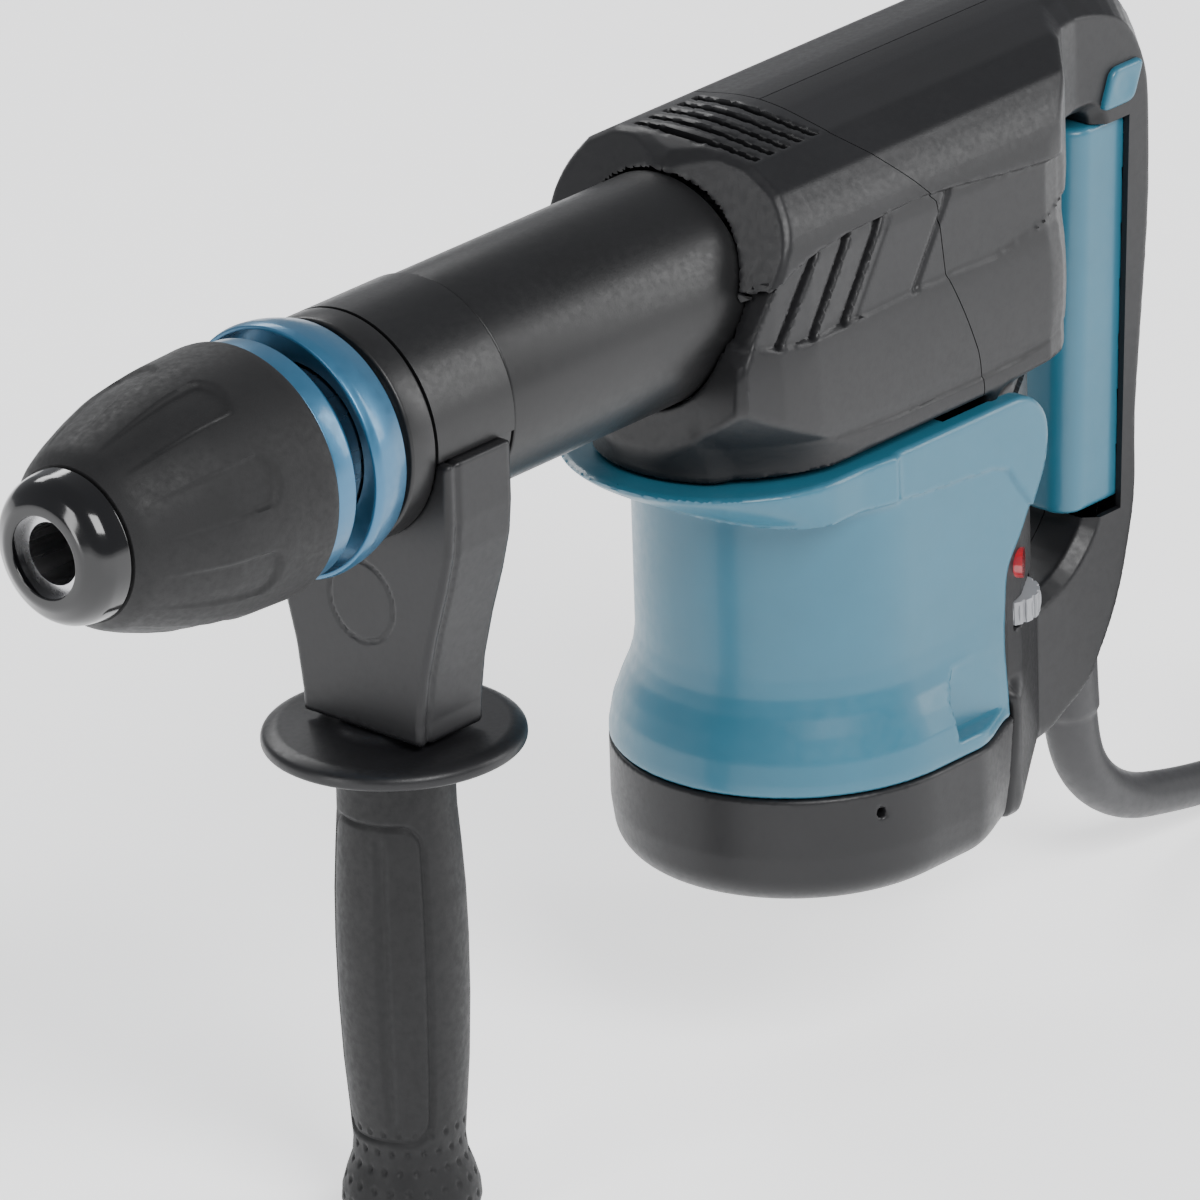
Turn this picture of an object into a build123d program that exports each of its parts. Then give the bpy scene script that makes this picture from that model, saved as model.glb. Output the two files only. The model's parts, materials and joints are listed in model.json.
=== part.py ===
from build123d import *
import math
import os

# Electric demolition hammer. Lengths in millimetres, +Z up, the bit end towards -X.
# It is modelled about its two working axes: the striking axis is the X axis (y = 0, z = 0)
# and the motor axis is the Z axis (x = 0, y = 0). Every piece is moved at the end, so that
# the written origin is the middle of the rear grip, where a hand holds the tool.

# ---------------------------------------------------------------- driving dimensions
GRIP_X = 129.0              # rear grip centre, from the motor axis
GRIP_Z = -60.0              # rear grip centre, from the striking axis

# nose and chuck, along the striking axis
NOSE_X = -302.0             # front rim of the nose cap
CAP_LENGTH = 12.0           # length of the nose cap
CAP_RIM_R = 14.5            # radius at the front rim
CAP_SEAM_R = 21.9           # radius where the cap meets the release cover
SOCKET_R = 9.05             # bore for the shank of the bit
SOCKET_LENGTH = 60.0        # length of that bore
HOLDER_R = 17.0             # tool holder tube, outside
JOURNAL_R = 24.0            # tool holder journal, outside
COVER_R = 37.4              # release cover, largest radius
COVER_REAR_X = -223.0       # rear edge of the release cover
COVER_WALL = 3.0            # wall of the release cover
COVER_TRAVEL = 6.0          # how far the release cover is pulled back
BAND_R = 35.2               # blue band behind the release cover
BAND_WIDTH = 8.0            # width of that band
GROOVE_R = 31.5             # floor of the dark groove between the two blue rings
RING_FRONT_X = -209.0       # front edge of the change ring
RING_WIDTH = 15.0           # width of the change ring
RING_R = 37.2               # largest radius of the change ring
RING_REAR_R = 34.4          # rear radius of the change ring
RING_TRAVEL = 4.0           # how far the change ring slides forward
FRONT_RING_X = -191.0       # front face of the ring that closes the barrel
FRONT_RING_R = 33.6         # its radius
ROLLER_R = 3.5              # locking rollers
ROLLER_LENGTH = 20.0        # length of a locking roller
ROLLER_TRAVEL = 1.5         # how far a roller moves out

# barrel and striking gear
BARREL_R = 32.7             # outside of the barrel
BARREL_BORE_R = 28.0        # inside of the barrel
BARREL_FRONT_X = -181.0     # front of the barrel's full diameter
BARREL_REAR_X = -50.0       # rear end of the barrel, inside the housing
NECK_R = 31.0               # barrel neck under the side grip's band
NECK_REAR_X = -148.5        # rear end of that neck
CYLINDER_R = 20.0           # bore of the cylinder
CYLINDER_WALL = 4.0         # wall of the cylinder
PISTON_LENGTH = 28.0        # piston
STRIKER_LENGTH = 26.0       # striker
BOLT_R = 11.0               # impact bolt, body radius
ROD_LENGTH = 52.0           # connecting rod between its two pins
CRANK_THROW = 12.0          # crank pin from the crank axis

# gears
MODULE = 1.25               # gear tooth module
PINION_TEETH = 10           # teeth on the armature pinion
CRANK_TEETH = 40            # teeth on the crank gear
TOOTH_SHARE = 0.36          # tooth thickness as a share of the pitch

# motor
STATOR_R = 40.0             # outside of the stator
AIR_GAP = 0.7               # between armature and stator
ARMATURE_R = 23.8           # armature core
SHAFT_R = 5.0               # armature shaft
MOTOR_TOP_Z = -72.0         # top of the stator
MOTOR_BOTTOM_Z = -128.0     # bottom of the stator

# housing
BODY_HALF = 45.5            # half width of the motor housing and of the upper housing
BODY_WALL = 3.0             # wall of every housing shell
TOP_Z = 43.2                # top of the upper housing
BLUE_TOP_Z = -54.0          # top of the motor housing
BLUE_BOTTOM_Z = -153.0      # bottom of the motor housing
FLARE_Z0 = -143.0           # the motor housing's foot has its full width below this
FLARE_Z1 = -126.0           # and its plain width above this
BASE_Z = -188.0             # underside of the bottom cover
BASE_HALF = 54.0            # half width of the bottom cover
BLUE_REAR_X = 45.0          # rear end of the motor housing
HANDLE_HALF = 17.5          # half width of the rear handle
HANDLE_REAR_X = 148.0       # rearmost point of the handle
GAP_FRONT_X = 80.0          # front side of the hand gap
GAP_REAR_X = 116.0          # rear side of the hand gap, behind the paddle
TRIGGER_HALF = 15.0         # half width of the trigger paddle
TRIGGER_TOP_Z = -2.0        # top of the trigger paddle
TRIGGER_BOTTOM_Z = -120.0   # bottom of the trigger paddle
TRIGGER_FRONT_X = 110.0     # front face of the trigger paddle

# side grip
SIDE_X = -167.5             # axis of the side grip
COLLAR_R = 33.4             # outside of the clamp band
BLOCK_HALF_X = 13.2         # half length of the grip base
BLOCK_BOTTOM_Z = -92.5      # underside of the grip base
FLANGE_R = 37.6             # hand guard flange
FLANGE_Z = -94.5            # upper face of the flange
FLANGE_THICK = 5.5          # flange thickness
GRIP_END_Z = -246.0         # lower end of the side grip
STEM_R = 9.0                # stem inside the rubber sleeve

# cord
CORD_R = 4.5                # mains cord
GUARD_R = 8.5               # cord guard where it leaves the handle
GUARD_TIP_R = 6.5           # cord guard at its free end

# clearances
RUN = 0.05                  # running fit, radial
GAP = 0.3                   # between pieces that move past each other
BOLT_FIT = 0.25             # screw in its hole, radial

os.makedirs("parts", exist_ok=True)
ORIGIN = Vector(GRIP_X, 0, GRIP_Z)


# ---------------------------------------------------------------- helpers
def save(name, *solids):
    """Write one node, as one solid or as a group of separate solids."""
    pieces = [s for shape in solids for s in shape.solids()]
    group = Compound(children=[s.moved(Location(-ORIGIN)) for s in pieces])
    export_step(pieces[0].moved(Location(-ORIGIN)) if len(pieces) == 1 else group, f"parts/{name}.step")


def about_x(points):
    """Solid of revolution about the striking axis, from (x, radius) points."""
    face = make_face(Plane.XZ * Polyline(*points, close=True))
    return revolve(face, Axis.X)


def about_z(points, x=0.0):
    """Solid of revolution about a vertical axis at x, from (radius, z) points."""
    face = make_face(Plane.XZ * Polyline(*points, close=True))
    return revolve(face, Axis.Z).moved(Location((x, 0, 0)))


def tube_x(x0, x1, outer, inner):
    """Tube along the striking axis."""
    return about_x([(x0, inner), (x1, inner), (x1, outer), (x0, outer)])


def tube_z(z0, z1, outer, inner, x=0.0):
    """Tube about a vertical axis at x."""
    return about_z([(inner, z0), (outer, z0), (outer, z1), (inner, z1)], x)


def rod_x(x0, x1, radius, y=0.0, z=0.0):
    """Round bar along X."""
    return Solid.make_cylinder(radius, x1 - x0, Plane((x0, y, z), z_dir=(1, 0, 0)))


def rod_y(y0, y1, radius, x, z):
    """Round bar along Y."""
    return Solid.make_cylinder(radius, y1 - y0, Plane((x, y0, z), z_dir=(0, 1, 0)))


def rod_z(z0, z1, radius, x=0.0, y=0.0):
    """Round bar along Z."""
    return Solid.make_cylinder(radius, z1 - z0, Plane((x, y, z0)))


def block(x0, x1, y0, y1, z0, z1):
    """Plain box from its corners."""
    return Solid.make_box(x1 - x0, y1 - y0, z1 - z0, Plane((x0, y0, z0)))


def side_plate(points, half, radius=0.0):
    """Outline of (x, z) points, rounded at its corners and extruded to both sides of y = 0."""
    face = make_face(Plane.XZ * Polyline(*points, close=True))
    if radius:
        face = fillet(face.vertices(), radius)
    return extrude(face, half, both=True)


def plan_plate(points, z0, z1, radius=0.0):
    """Outline of (x, y) points for y >= 0, mirrored, and extruded from z0 to z1."""
    mirrored = [(x, -y) for x, y in reversed(points)]
    face = make_face(Plane.XY.offset(z0) * Polyline(*points, *mirrored, close=True))
    if radius:
        face = fillet(face.vertices(), radius)
    return extrude(face, z1 - z0)


def gear(teeth, z0, z1, x, bore, phase):
    """Spur gear about a vertical axis at x, with straight-sided teeth."""
    pitch_r = MODULE * teeth / 2
    root_r = pitch_r - 1.25 * MODULE
    tip_r = pitch_r + 0.9 * MODULE
    pitch = 360 / teeth
    outline = []
    for i in range(teeth):
        middle = phase + i * pitch
        for radius, share in ((root_r, -0.75), (tip_r, -0.42), (tip_r, 0.42), (root_r, 0.75)):
            turn = math.radians(middle + share * TOOTH_SHARE * pitch)
            outline.append((radius * math.cos(turn), radius * math.sin(turn)))
    face = make_face(Plane.XY.offset(z0) * Polyline(*outline, close=True))
    wheel = extrude(face, z1 - z0).moved(Location((x, 0, 0)))
    return wheel - rod_z(z0 - 1, z1 + 1, bore, x)


# ---------------------------------------------------------------- chuck
CAP_REAR_X = NOSE_X + CAP_LENGTH
CRANK_X = -MODULE * (PINION_TEETH + CRANK_TEETH) / 2
PISTON_PIN_X = CRANK_X - CRANK_THROW - ROD_LENGTH
PISTON_FRONT_X = PISTON_PIN_X - PISTON_LENGTH * 0.6
STRIKER_REAR_X = PISTON_FRONT_X - 10.0
STRIKER_FRONT_X = STRIKER_REAR_X - STRIKER_LENGTH
BOLT_REAR_X = STRIKER_FRONT_X - 5.0
SOCKET_REAR_X = NOSE_X + 4.0 + SOCKET_LENGTH
HOLDER_FRONT_X = NOSE_X + 4.0
JOURNAL_FRONT_X = RING_FRONT_X - 5.0
JOURNAL_REAR_X = BARREL_FRONT_X + 12.0
ROLLER_X = NOSE_X + 44.0


def nose_cap():
    lip_r = HOLDER_R - 2.6
    profile = [
        (NOSE_X, lip_r - 2.6),
        (NOSE_X, CAP_RIM_R),
        (NOSE_X + 2.5, CAP_RIM_R + 3.2),
        (NOSE_X + 6.5, CAP_SEAM_R - 1.8),
        (CAP_REAR_X, CAP_SEAM_R),
        (CAP_REAR_X, HOLDER_R + 0.6),
        (CAP_REAR_X - 3.0, HOLDER_R + 0.6),
        (CAP_REAR_X - 3.0, lip_r),
        (HOLDER_FRONT_X, lip_r),
        (HOLDER_FRONT_X, lip_r - 2.6),
    ]
    return about_x(profile)


def tool_holder():
    lip_r = HOLDER_R - 2.6
    bolt_bore = BOLT_R + RUN
    body = about_x([
        (HOLDER_FRONT_X, SOCKET_R),
        (HOLDER_FRONT_X, lip_r),
        (CAP_REAR_X - 3.0, lip_r),
        (CAP_REAR_X - 3.0, HOLDER_R),
        (JOURNAL_FRONT_X, HOLDER_R),
        (JOURNAL_FRONT_X, JOURNAL_R),
        (JOURNAL_REAR_X, JOURNAL_R),
        (JOURNAL_REAR_X, bolt_bore),
        (SOCKET_REAR_X, bolt_bore),
        (SOCKET_REAR_X, SOCKET_R),
    ])
    half = ROLLER_LENGTH / 2 + 0.5
    for side in (-1, 1):
        low = min(side * (SOCKET_R - 2), side * (HOLDER_R + 2))
        high = max(side * (SOCKET_R - 2), side * (HOLDER_R + 2))
        slot_half = ROLLER_R + 0.2
        body -= block(ROLLER_X - half, ROLLER_X + half, -slot_half, slot_half, low, high)
    return body


def roller(side):
    centre = side * (SOCKET_R + ROLLER_R + RUN)
    return rod_x(ROLLER_X - ROLLER_LENGTH / 2, ROLLER_X + ROLLER_LENGTH / 2, ROLLER_R, 0, centre)


def release_cover():
    wall = COVER_WALL
    front = CAP_REAR_X + GAP
    hub_r = HOLDER_R + GAP
    outer = [
        (front, CAP_SEAM_R + 0.6),
        (front + 14, 29.6),
        (front + 30, 34.6),
        (front + 43, COVER_R - 0.8),
        (front + 56, COVER_R),
        (COVER_REAR_X - 1.5, COVER_R - 0.4),
        (COVER_REAR_X, COVER_R - 1.4),
    ]
    inner = [
        (COVER_REAR_X, COVER_R - 1.4 - wall),
        (front + 43, COVER_R - 0.8 - wall),
        (front + 30, 34.6 - wall),
        (front + 14, 29.6 - wall),
        (front + 10, hub_r + 2.0),
        (front + 10, hub_r),
        (front, hub_r),
    ]
    return about_x(outer + inner)


def cover_band():
    front = COVER_REAR_X
    rear = front + BAND_WIDTH
    skirt = RING_FRONT_X - 2.5
    inner = JOURNAL_R + 2.0
    return about_x([
        (front, inner),
        (front, BAND_R),
        (rear, BAND_R),
        (rear, GROOVE_R),
        (skirt, GROOVE_R),
        (skirt, inner),
    ])


def release_spring():
    wire = 1.1
    start = CAP_REAR_X + 12.0
    coil_r = HOLDER_R + wire + GAP
    turns = 5
    length = JOURNAL_FRONT_X - start - 2 * wire - 2.0
    path = Helix(length / turns, length, coil_r)
    section = Plane(path @ 0, z_dir=path % 0) * Circle(wire)
    coil = sweep(section, path)
    return coil.moved(Location((start + wire + 1.0, 0, 0), (0, 90, 0)))


def change_ring():
    front = RING_FRONT_X
    rear = front + RING_WIDTH
    hub = JOURNAL_R + GAP
    pocket = BAND_R + GAP
    floor = front + 8.0
    return about_x([
        (front, pocket),
        (front, RING_R - 0.4),
        (front + 2, RING_R),
        (front + 7, RING_R - 0.6),
        (rear, RING_REAR_R),
        (rear, hub),
        (floor, hub),
        (floor, pocket),
    ])


def detent_washer():
    x0 = RING_FRONT_X + RING_WIDTH + 0.5
    return tube_x(x0, x0 + 1.8, JOURNAL_R + 6.0, JOURNAL_R)


def front_ring():
    return tube_x(FRONT_RING_X, BARREL_FRONT_X - GAP, FRONT_RING_R, JOURNAL_R + 3.0)


# ---------------------------------------------------------------- barrel and striking gear
def barrel():
    spigot = JOURNAL_R + 3.0
    return about_x([
        (FRONT_RING_X + 1.0, JOURNAL_R + RUN),
        (FRONT_RING_X + 1.0, spigot),
        (BARREL_FRONT_X, spigot),
        (BARREL_FRONT_X, NECK_R),
        (NECK_REAR_X, NECK_R),
        (NECK_REAR_X, BARREL_R),
        (BARREL_REAR_X, BARREL_R),
        (BARREL_REAR_X, BARREL_BORE_R),
        (JOURNAL_REAR_X + 1.0, BARREL_BORE_R),
        (JOURNAL_REAR_X + 1.0, JOURNAL_R + RUN),
    ])


def cylinder():
    front = BOLT_REAR_X + 3.0
    rear = PISTON_PIN_X + PISTON_LENGTH
    outer = CYLINDER_R + CYLINDER_WALL
    return about_x([
        (front, CYLINDER_R),
        (front, BARREL_BORE_R),
        (front + 6, BARREL_BORE_R),
        (front + 6, outer),
        (rear - 6, outer),
        (rear - 6, BARREL_BORE_R),
        (rear, BARREL_BORE_R),
        (rear, CYLINDER_R),
    ])


def grooved_bar(x0, x1, radius, groove_x, depth=2.0, width=3.2):
    """Round bar with one O-ring groove that starts at groove_x."""
    return about_x([
        (x0, 0),
        (x0, radius),
        (groove_x, radius),
        (groove_x, radius - depth),
        (groove_x + width, radius - depth),
        (groove_x + width, radius),
        (x1, radius),
        (x1, 0),
    ])


def o_ring(groove_x, radius, depth=2.0, width=3.2):
    return tube_x(groove_x + 0.2, groove_x + width - 0.2, radius, radius - depth)


PISTON_GROOVE_X = PISTON_FRONT_X + 4.0
STRIKER_GROOVE_X = STRIKER_FRONT_X + 10.0


def piston():
    rear = PISTON_FRONT_X + PISTON_LENGTH
    body = grooved_bar(PISTON_FRONT_X, rear, CYLINDER_R - RUN, PISTON_GROOVE_X)
    body -= block(PISTON_FRONT_X + 8, rear + 1, -19, 19, -7, 7)
    return body - rod_z(-30, 30, 4.0, PISTON_PIN_X)


def piston_pin():
    return rod_z(-17, 17, 4.0, PISTON_PIN_X)


def connecting_rod():
    big_x = CRANK_X - CRANK_THROW
    small = rod_z(-6, 6, 8.0, PISTON_PIN_X)
    big = rod_z(-6, 6, 10.0, big_x)
    shank = block(PISTON_PIN_X, big_x, -4.5, 4.5, -4, 4)
    return small + big + shank - rod_z(-7, 7, 4.0 + RUN, PISTON_PIN_X) - rod_z(-7, 7, 5.5, big_x)


def striker():
    radius = CYLINDER_R - RUN
    body = grooved_bar(STRIKER_FRONT_X + 6, STRIKER_REAR_X, radius, STRIKER_GROOVE_X)
    return body + rod_x(STRIKER_FRONT_X, STRIKER_FRONT_X + 6, 12.0)


def impact_bolt():
    front = SOCKET_REAR_X + 8.0
    return rod_x(front, BOLT_REAR_X - 10, BOLT_R) + rod_x(BOLT_REAR_X - 10, BOLT_REAR_X, 9.0)


def impact_damper():
    x0 = JOURNAL_REAR_X + 1.5
    return tube_x(x0, BOLT_REAR_X + 2.5, BARREL_BORE_R, BOLT_R + 3.0)


# ---------------------------------------------------------------- crank
GEAR_Z0 = -43.0
GEAR_Z1 = -34.0
WEB_Z0 = -21.5
WEB_Z1 = -14.0
FLOOR_Z0 = -56.0
FLOOR_Z1 = -44.5


def crank_shaft():
    shaft = rod_z(FLOOR_Z0 + 2, WEB_Z0, 6.0, CRANK_X)
    web = rod_z(WEB_Z0, WEB_Z1, 17.5, CRANK_X)
    pin = rod_z(WEB_Z1, -6.8, 5.0, CRANK_X - CRANK_THROW)
    return shaft + web + pin


def crank_gear():
    return gear(CRANK_TEETH, GEAR_Z0, GEAR_Z1, CRANK_X, 6.0, 0.0)


def bearing(z0, z1, x, bore, outer):
    """Ball bearing as one ring with a groove in each face."""
    middle = (bore + outer) / 2
    ring = tube_z(z0, z1, outer, bore, x)
    for z in (z0, z1 - 1.0):
        ring -= tube_z(z, z + 1.0, middle + 1.6, middle - 1.6, x)
    return ring


# ---------------------------------------------------------------- motor
PINION_PHASE = 180.0 / PINION_TEETH


def armature_shaft():
    pinion = gear(PINION_TEETH, GEAR_Z0 + 0.5, GEAR_Z1 - 0.5, 0.0, 2.0, PINION_PHASE)
    return rod_z(-170, GEAR_Z0 + 0.5, SHAFT_R) + rod_z(GEAR_Z0 + 0.5, GEAR_Z1 - 0.5, 2.0) + pinion


def armature_core():
    core = tube_z(MOTOR_BOTTOM_Z, MOTOR_TOP_Z, ARMATURE_R, SHAFT_R)
    for i in range(12):
        turn = 30.0 * i
        slot = block(ARMATURE_R - 2.5, ARMATURE_R + 1, -1.1, 1.1, MOTOR_BOTTOM_Z - 1, MOTOR_TOP_Z + 1)
        core -= slot.rotate(Axis.Z, turn)
    return core


def winding():
    ends = []
    for z0, z1 in ((MOTOR_BOTTOM_Z - 7, MOTOR_BOTTOM_Z), (MOTOR_TOP_Z, MOTOR_TOP_Z + 6)):
        ends.append(tube_z(z0, z1, ARMATURE_R - 3, SHAFT_R))
    return ends


def commutator():
    return tube_z(MOTOR_BOTTOM_Z - 22, MOTOR_BOTTOM_Z - 8, 12.5, SHAFT_R)


def stator():
    body = tube_z(MOTOR_BOTTOM_Z, MOTOR_TOP_Z, STATOR_R, ARMATURE_R + AIR_GAP)
    for side in (-1, 1):
        low = min(side * 31, side * 38)
        body -= block(-10, 10, low, low + 7, MOTOR_BOTTOM_Z - 1, MOTOR_TOP_Z + 1)
    return body


def fan():
    disc = tube_z(-65, -63.5, 34, SHAFT_R)
    hub = tube_z(-65, -58.5, 10, SHAFT_R)
    wheel = disc + hub
    for i in range(9):
        blade = block(12, 33, -0.9, 0.9, -63.5, -58.5)
        wheel += blade.rotate(Axis.Z, 40.0 * i)
    return wheel


def brush_parts():
    holders = []
    brushes = []
    z0 = MOTOR_BOTTOM_Z - 19
    z1 = MOTOR_BOTTOM_Z - 11
    for side in (-1, 1):
        holder = block(15, 34, -5, 5, z0 - 1.5, z1 + 1.5) - block(14, 32, -3.2, 3.2, z0, z1)
        brush = block(12.5 + GAP, 30, -3.2 + 0.1, 3.2 - 0.1, z0 + 0.1, z1 - 0.1)
        turn = 0 if side > 0 else 180
        holders.append(holder.rotate(Axis.Z, turn + 90))
        brushes.append(brush.rotate(Axis.Z, turn + 90))
    return holders, brushes


def air_baffle():
    return tube_z(-70.0 + 2.0, -66.5, STATOR_R + 2.0, 26.0)


# ---------------------------------------------------------------- housing outlines
SIDE_POINTS = [
    (-66, BLUE_TOP_Z),
    (-64, 4),
    (-50, 38),
    (-40, TOP_Z - 1),
    (20, TOP_Z),
    (112, TOP_Z),
    (HANDLE_REAR_X - 12, 36),
    (HANDLE_REAR_X, 14),
    (HANDLE_REAR_X, -28),
    (139, -95),
    (139, -122),
    (130, -154),
    (113, -179),
    (92, BASE_Z - 2),
    (BLUE_REAR_X + 10, BASE_Z),
    (BLUE_REAR_X + 1, BASE_Z),
    (BLUE_REAR_X + 1, BLUE_TOP_Z),
]
GAP_POINTS = [
    (GAP_FRONT_X, 2),
    (GAP_REAR_X, 4),
    (GAP_REAR_X + 2, -8),
    (GAP_REAR_X - 4, -122),
    (GAP_REAR_X - 14, -134),
    (GAP_FRONT_X, -142),
]
UPPER_PLAN = [
    (-72, 40),
    (-40, BODY_HALF),
    (66, BODY_HALF),
    (84, 34),
    (100, HANDLE_HALF),
    (HANDLE_REAR_X + 5, HANDLE_HALF),
]
LOWER_PLAN = [
    (BLUE_REAR_X - 5, BODY_HALF),
    (BLUE_REAR_X + 1, BODY_HALF),
    (68, 30),
    (86, HANDLE_HALF),
    (HANDLE_REAR_X + 5, HANDLE_HALF),
]
FRONT_POINTS = [
    (0, -60),
    (BODY_HALF + 2, -60),
    (BODY_HALF + 2, 18),
    (34, 41),
    (29, TOP_Z + 1),
    (0, TOP_Z + 1),
]


def black_body(wall):
    """Outer form of the upper housing and the rear handle, or that form set in by a wall."""
    side = make_face(Plane.XZ * Polyline(*SIDE_POINTS, close=True))
    hole = make_face(Plane.XZ * Polyline(*GAP_POINTS, close=True))
    hole = fillet(hole.vertices(), 6)
    mirrored = [(-y, z) for y, z in reversed(FRONT_POINTS[1:-1])]
    front = make_face(Plane.YZ * Polyline(*FRONT_POINTS, *mirrored, close=True))
    if wall:
        side = offset(side, -wall, kind=Kind.INTERSECTION)
        hole = offset(hole, wall, kind=Kind.INTERSECTION)
        front = offset(front, -wall, kind=Kind.INTERSECTION)
    side_solid = extrude(side, 60, both=True)
    hole_solid = extrude(hole, 60, both=True)
    front_solid = extrude(front, 200, both=True)
    upper_plan = [(x, y - wall) for x, y in UPPER_PLAN]
    lower_plan = [(x, y - wall) for x, y in LOWER_PLAN]
    upper = side_solid & front_solid & plan_plate(upper_plan, BLUE_TOP_Z + wall, 60)
    lower = side_solid & plan_plate(lower_plan, -200, BLUE_TOP_Z + wall)
    return upper + lower - hole_solid


def barrel_hole(x0, x1):
    """Cutter for the passage of the barrel into the housing."""
    return rod_x(x0, x1, BARREL_R)


# ---------------------------------------------------------------- housing shells
PANEL_SEAM_X = 30.0
PADDLE_SKIRT = 134.0        # rear edge of the paddle's skirts at their top
PADDLE_LEAN = 7.0           # how much the paddle leans forward over its height
SKIN = 2.2                  # wall of the rear grip


def paddle_points(front, rear):
    """Leaning strip in the (x, z) plane between two x values given at the paddle's top."""
    return [
        (front, TRIGGER_TOP_Z),
        (rear, TRIGGER_TOP_Z),
        (rear - PADDLE_LEAN, TRIGGER_BOTTOM_Z),
        (front - PADDLE_LEAN, TRIGGER_BOTTOM_Z),
    ]


def paddle_opening():
    """Space in front of the rear grip that the paddle and its stroke need."""
    high = [(x, z + (GAP if z > -60 else -2.6)) for x, z in paddle_points(90, PADDLE_SKIRT - 2.5)]
    return side_plate(high, 30)


def black_shell():
    """Upper housing and rear handle as one hollow form, before it is split."""
    outer = black_body(0)
    inner = black_body(SKIN)
    shell = outer - inner
    shell -= paddle_opening()
    shell -= barrel_hole(-90, -30)
    shell -= block(-70, BLUE_REAR_X - 1, -60, 60, BLUE_TOP_Z - 1, BLUE_TOP_Z + SKIN + 1)
    return shell


def blue_form(wall):
    """Motor housing, outside or set in by a wall: round in front, straight sides behind."""
    r = BODY_HALF - wall
    rear = BLUE_REAR_X - wall
    flare = BASE_HALF - wall
    z_top = BLUE_TOP_Z
    round_part = about_z([
        (0, BLUE_BOTTOM_Z),
        (flare, BLUE_BOTTOM_Z),
        (flare, FLARE_Z0),
        (r, FLARE_Z1),
        (r, z_top),
        (0, z_top),
    ])
    sides = block(0, rear, -r, r, BLUE_BOTTOM_Z, z_top)
    foot = plan_plate([(0, flare), (20, flare), (rear, r)], BLUE_BOTTOM_Z, FLARE_Z0)
    return (round_part + sides + foot) & block(-100, rear, -100, 100, -200, 0)


LIP_PLAN = [(-72, 14), (-66, 30), (-52, 42), (-30, BODY_HALF)]


def motor_housing():
    body = blue_form(0) - blue_form(BODY_WALL)
    lip = plan_plate(LIP_PLAN, BLUE_TOP_Z - 6, BLUE_TOP_Z)
    under = plan_plate([(x + 9, max(y - 9, 4)) for x, y in LIP_PLAN], BLUE_TOP_Z - 16, BLUE_TOP_Z - 6)
    return body + ((lip + under) - rod_z(-80, 0, BODY_HALF - BODY_WALL))


def base_form(wall):
    r = BASE_HALF - wall
    rear = BLUE_REAR_X - wall
    plan = [(0, r), (20, r), (rear, BODY_HALF - wall)]
    form = plan_plate(plan, BASE_Z + wall, BLUE_BOTTOM_Z) + rod_z(BASE_Z + wall, BLUE_BOTTOM_Z, r)
    return form & block(-100, rear, -100, 100, -200, 0)


def bottom_cover():
    outer = base_form(0)
    outer = fillet(outer.faces().sort_by(Axis.Z)[0].edges(), 9)
    inner = base_form(BODY_WALL)
    inner = fillet(inner.faces().sort_by(Axis.Z)[0].edges(), 6)
    bearing_seat = tube_z(BASE_Z + BODY_WALL, -160, 14, 11)
    return outer - inner + bearing_seat


CASE_TOP_Z = 19.0           # top of the crank case
CASE_PLAN = [(BARREL_REAR_X - 3.5, 24), (BARREL_REAR_X + 7, 35), (36, 35)]
BROW_X = -40.0              # the crank case is cut low in front of this
BROW_Z = -2.0               # height of that cut


def brow_cut():
    """Room under the sloping front of the upper housing."""
    return block(-90, BROW_X, -60, 60, BROW_Z, 60)


def gear_housing():
    plan = plan_plate(CASE_PLAN, FLOOR_Z0 + 4.5, CASE_TOP_Z)
    cavity = block(BARREL_REAR_X, 32, -31, 31, FLOOR_Z1, 25)
    body = plan - cavity - block(-90, CASE_PLAN[0][0] + 2, -60, 60, -60, -34)
    shelf = block(BARREL_REAR_X - 2, 6, -31, 31, -33, -22.5) - rod_z(-40, 0, 15, CRANK_X)
    body += shelf
    body -= barrel_hole(-80, BARREL_REAR_X)
    body -= brow_cut()
    body -= rod_z(GEAR_Z0 - 0.5, GEAR_Z1 + 0.5, MODULE * (CRANK_TEETH / 2 + 1) + 0.5, CRANK_X)
    body -= rod_z(FLOOR_Z0 - 1, FLOOR_Z1 + 1, 11, CRANK_X)
    return body - rod_z(FLOOR_Z0 - 1, FLOOR_Z1 + 1, 13)


def crank_cover():
    plate = plan_plate(CASE_PLAN, CASE_TOP_Z, CASE_TOP_Z + 3.5)
    return plate - brow_cut()


# ---------------------------------------------------------------- controls
HINGE_X = 136.5
HINGE_Z = -8.0
PIN_R = 2.5                 # trigger pin


def trigger():
    wall = 2.4
    outer = side_plate(paddle_points(TRIGGER_FRONT_X, PADDLE_SKIRT), TRIGGER_HALF)
    front_edges = outer.edges().filter_by(lambda e: abs(e.center().X - TRIGGER_FRONT_X + 3.5) < 0.2)
    outer = fillet(front_edges.filter_by(lambda e: abs(e.center().Y) > 10), 8)
    inner_points = paddle_points(TRIGGER_FRONT_X + wall, PADDLE_SKIRT + 5)
    inner_points = [(x, z - wall if z > -60 else z + wall) for x, z in inner_points]
    inner = side_plate(inner_points, TRIGGER_HALF - wall)
    inner_front = inner.edges().filter_by(lambda e: abs(e.center().X - TRIGGER_FRONT_X - wall + 3.5) < 0.4)
    inner = fillet(inner_front.filter_by(lambda e: abs(e.center().Y) > 8), 5.6)
    body = outer - inner
    lug = rod_y(-TRIGGER_HALF + 1, TRIGGER_HALF - 1, 5, HINGE_X, HINGE_Z)
    lug -= block(90, 150, -9, 9, -40, 20)
    return body + lug - rod_y(-20, 20, PIN_R + RUN, HINGE_X, HINGE_Z)


def trigger_pin():
    end = HANDLE_HALF - 1.2
    return rod_y(-end, end, PIN_R, HINGE_X, HINGE_Z)


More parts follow.
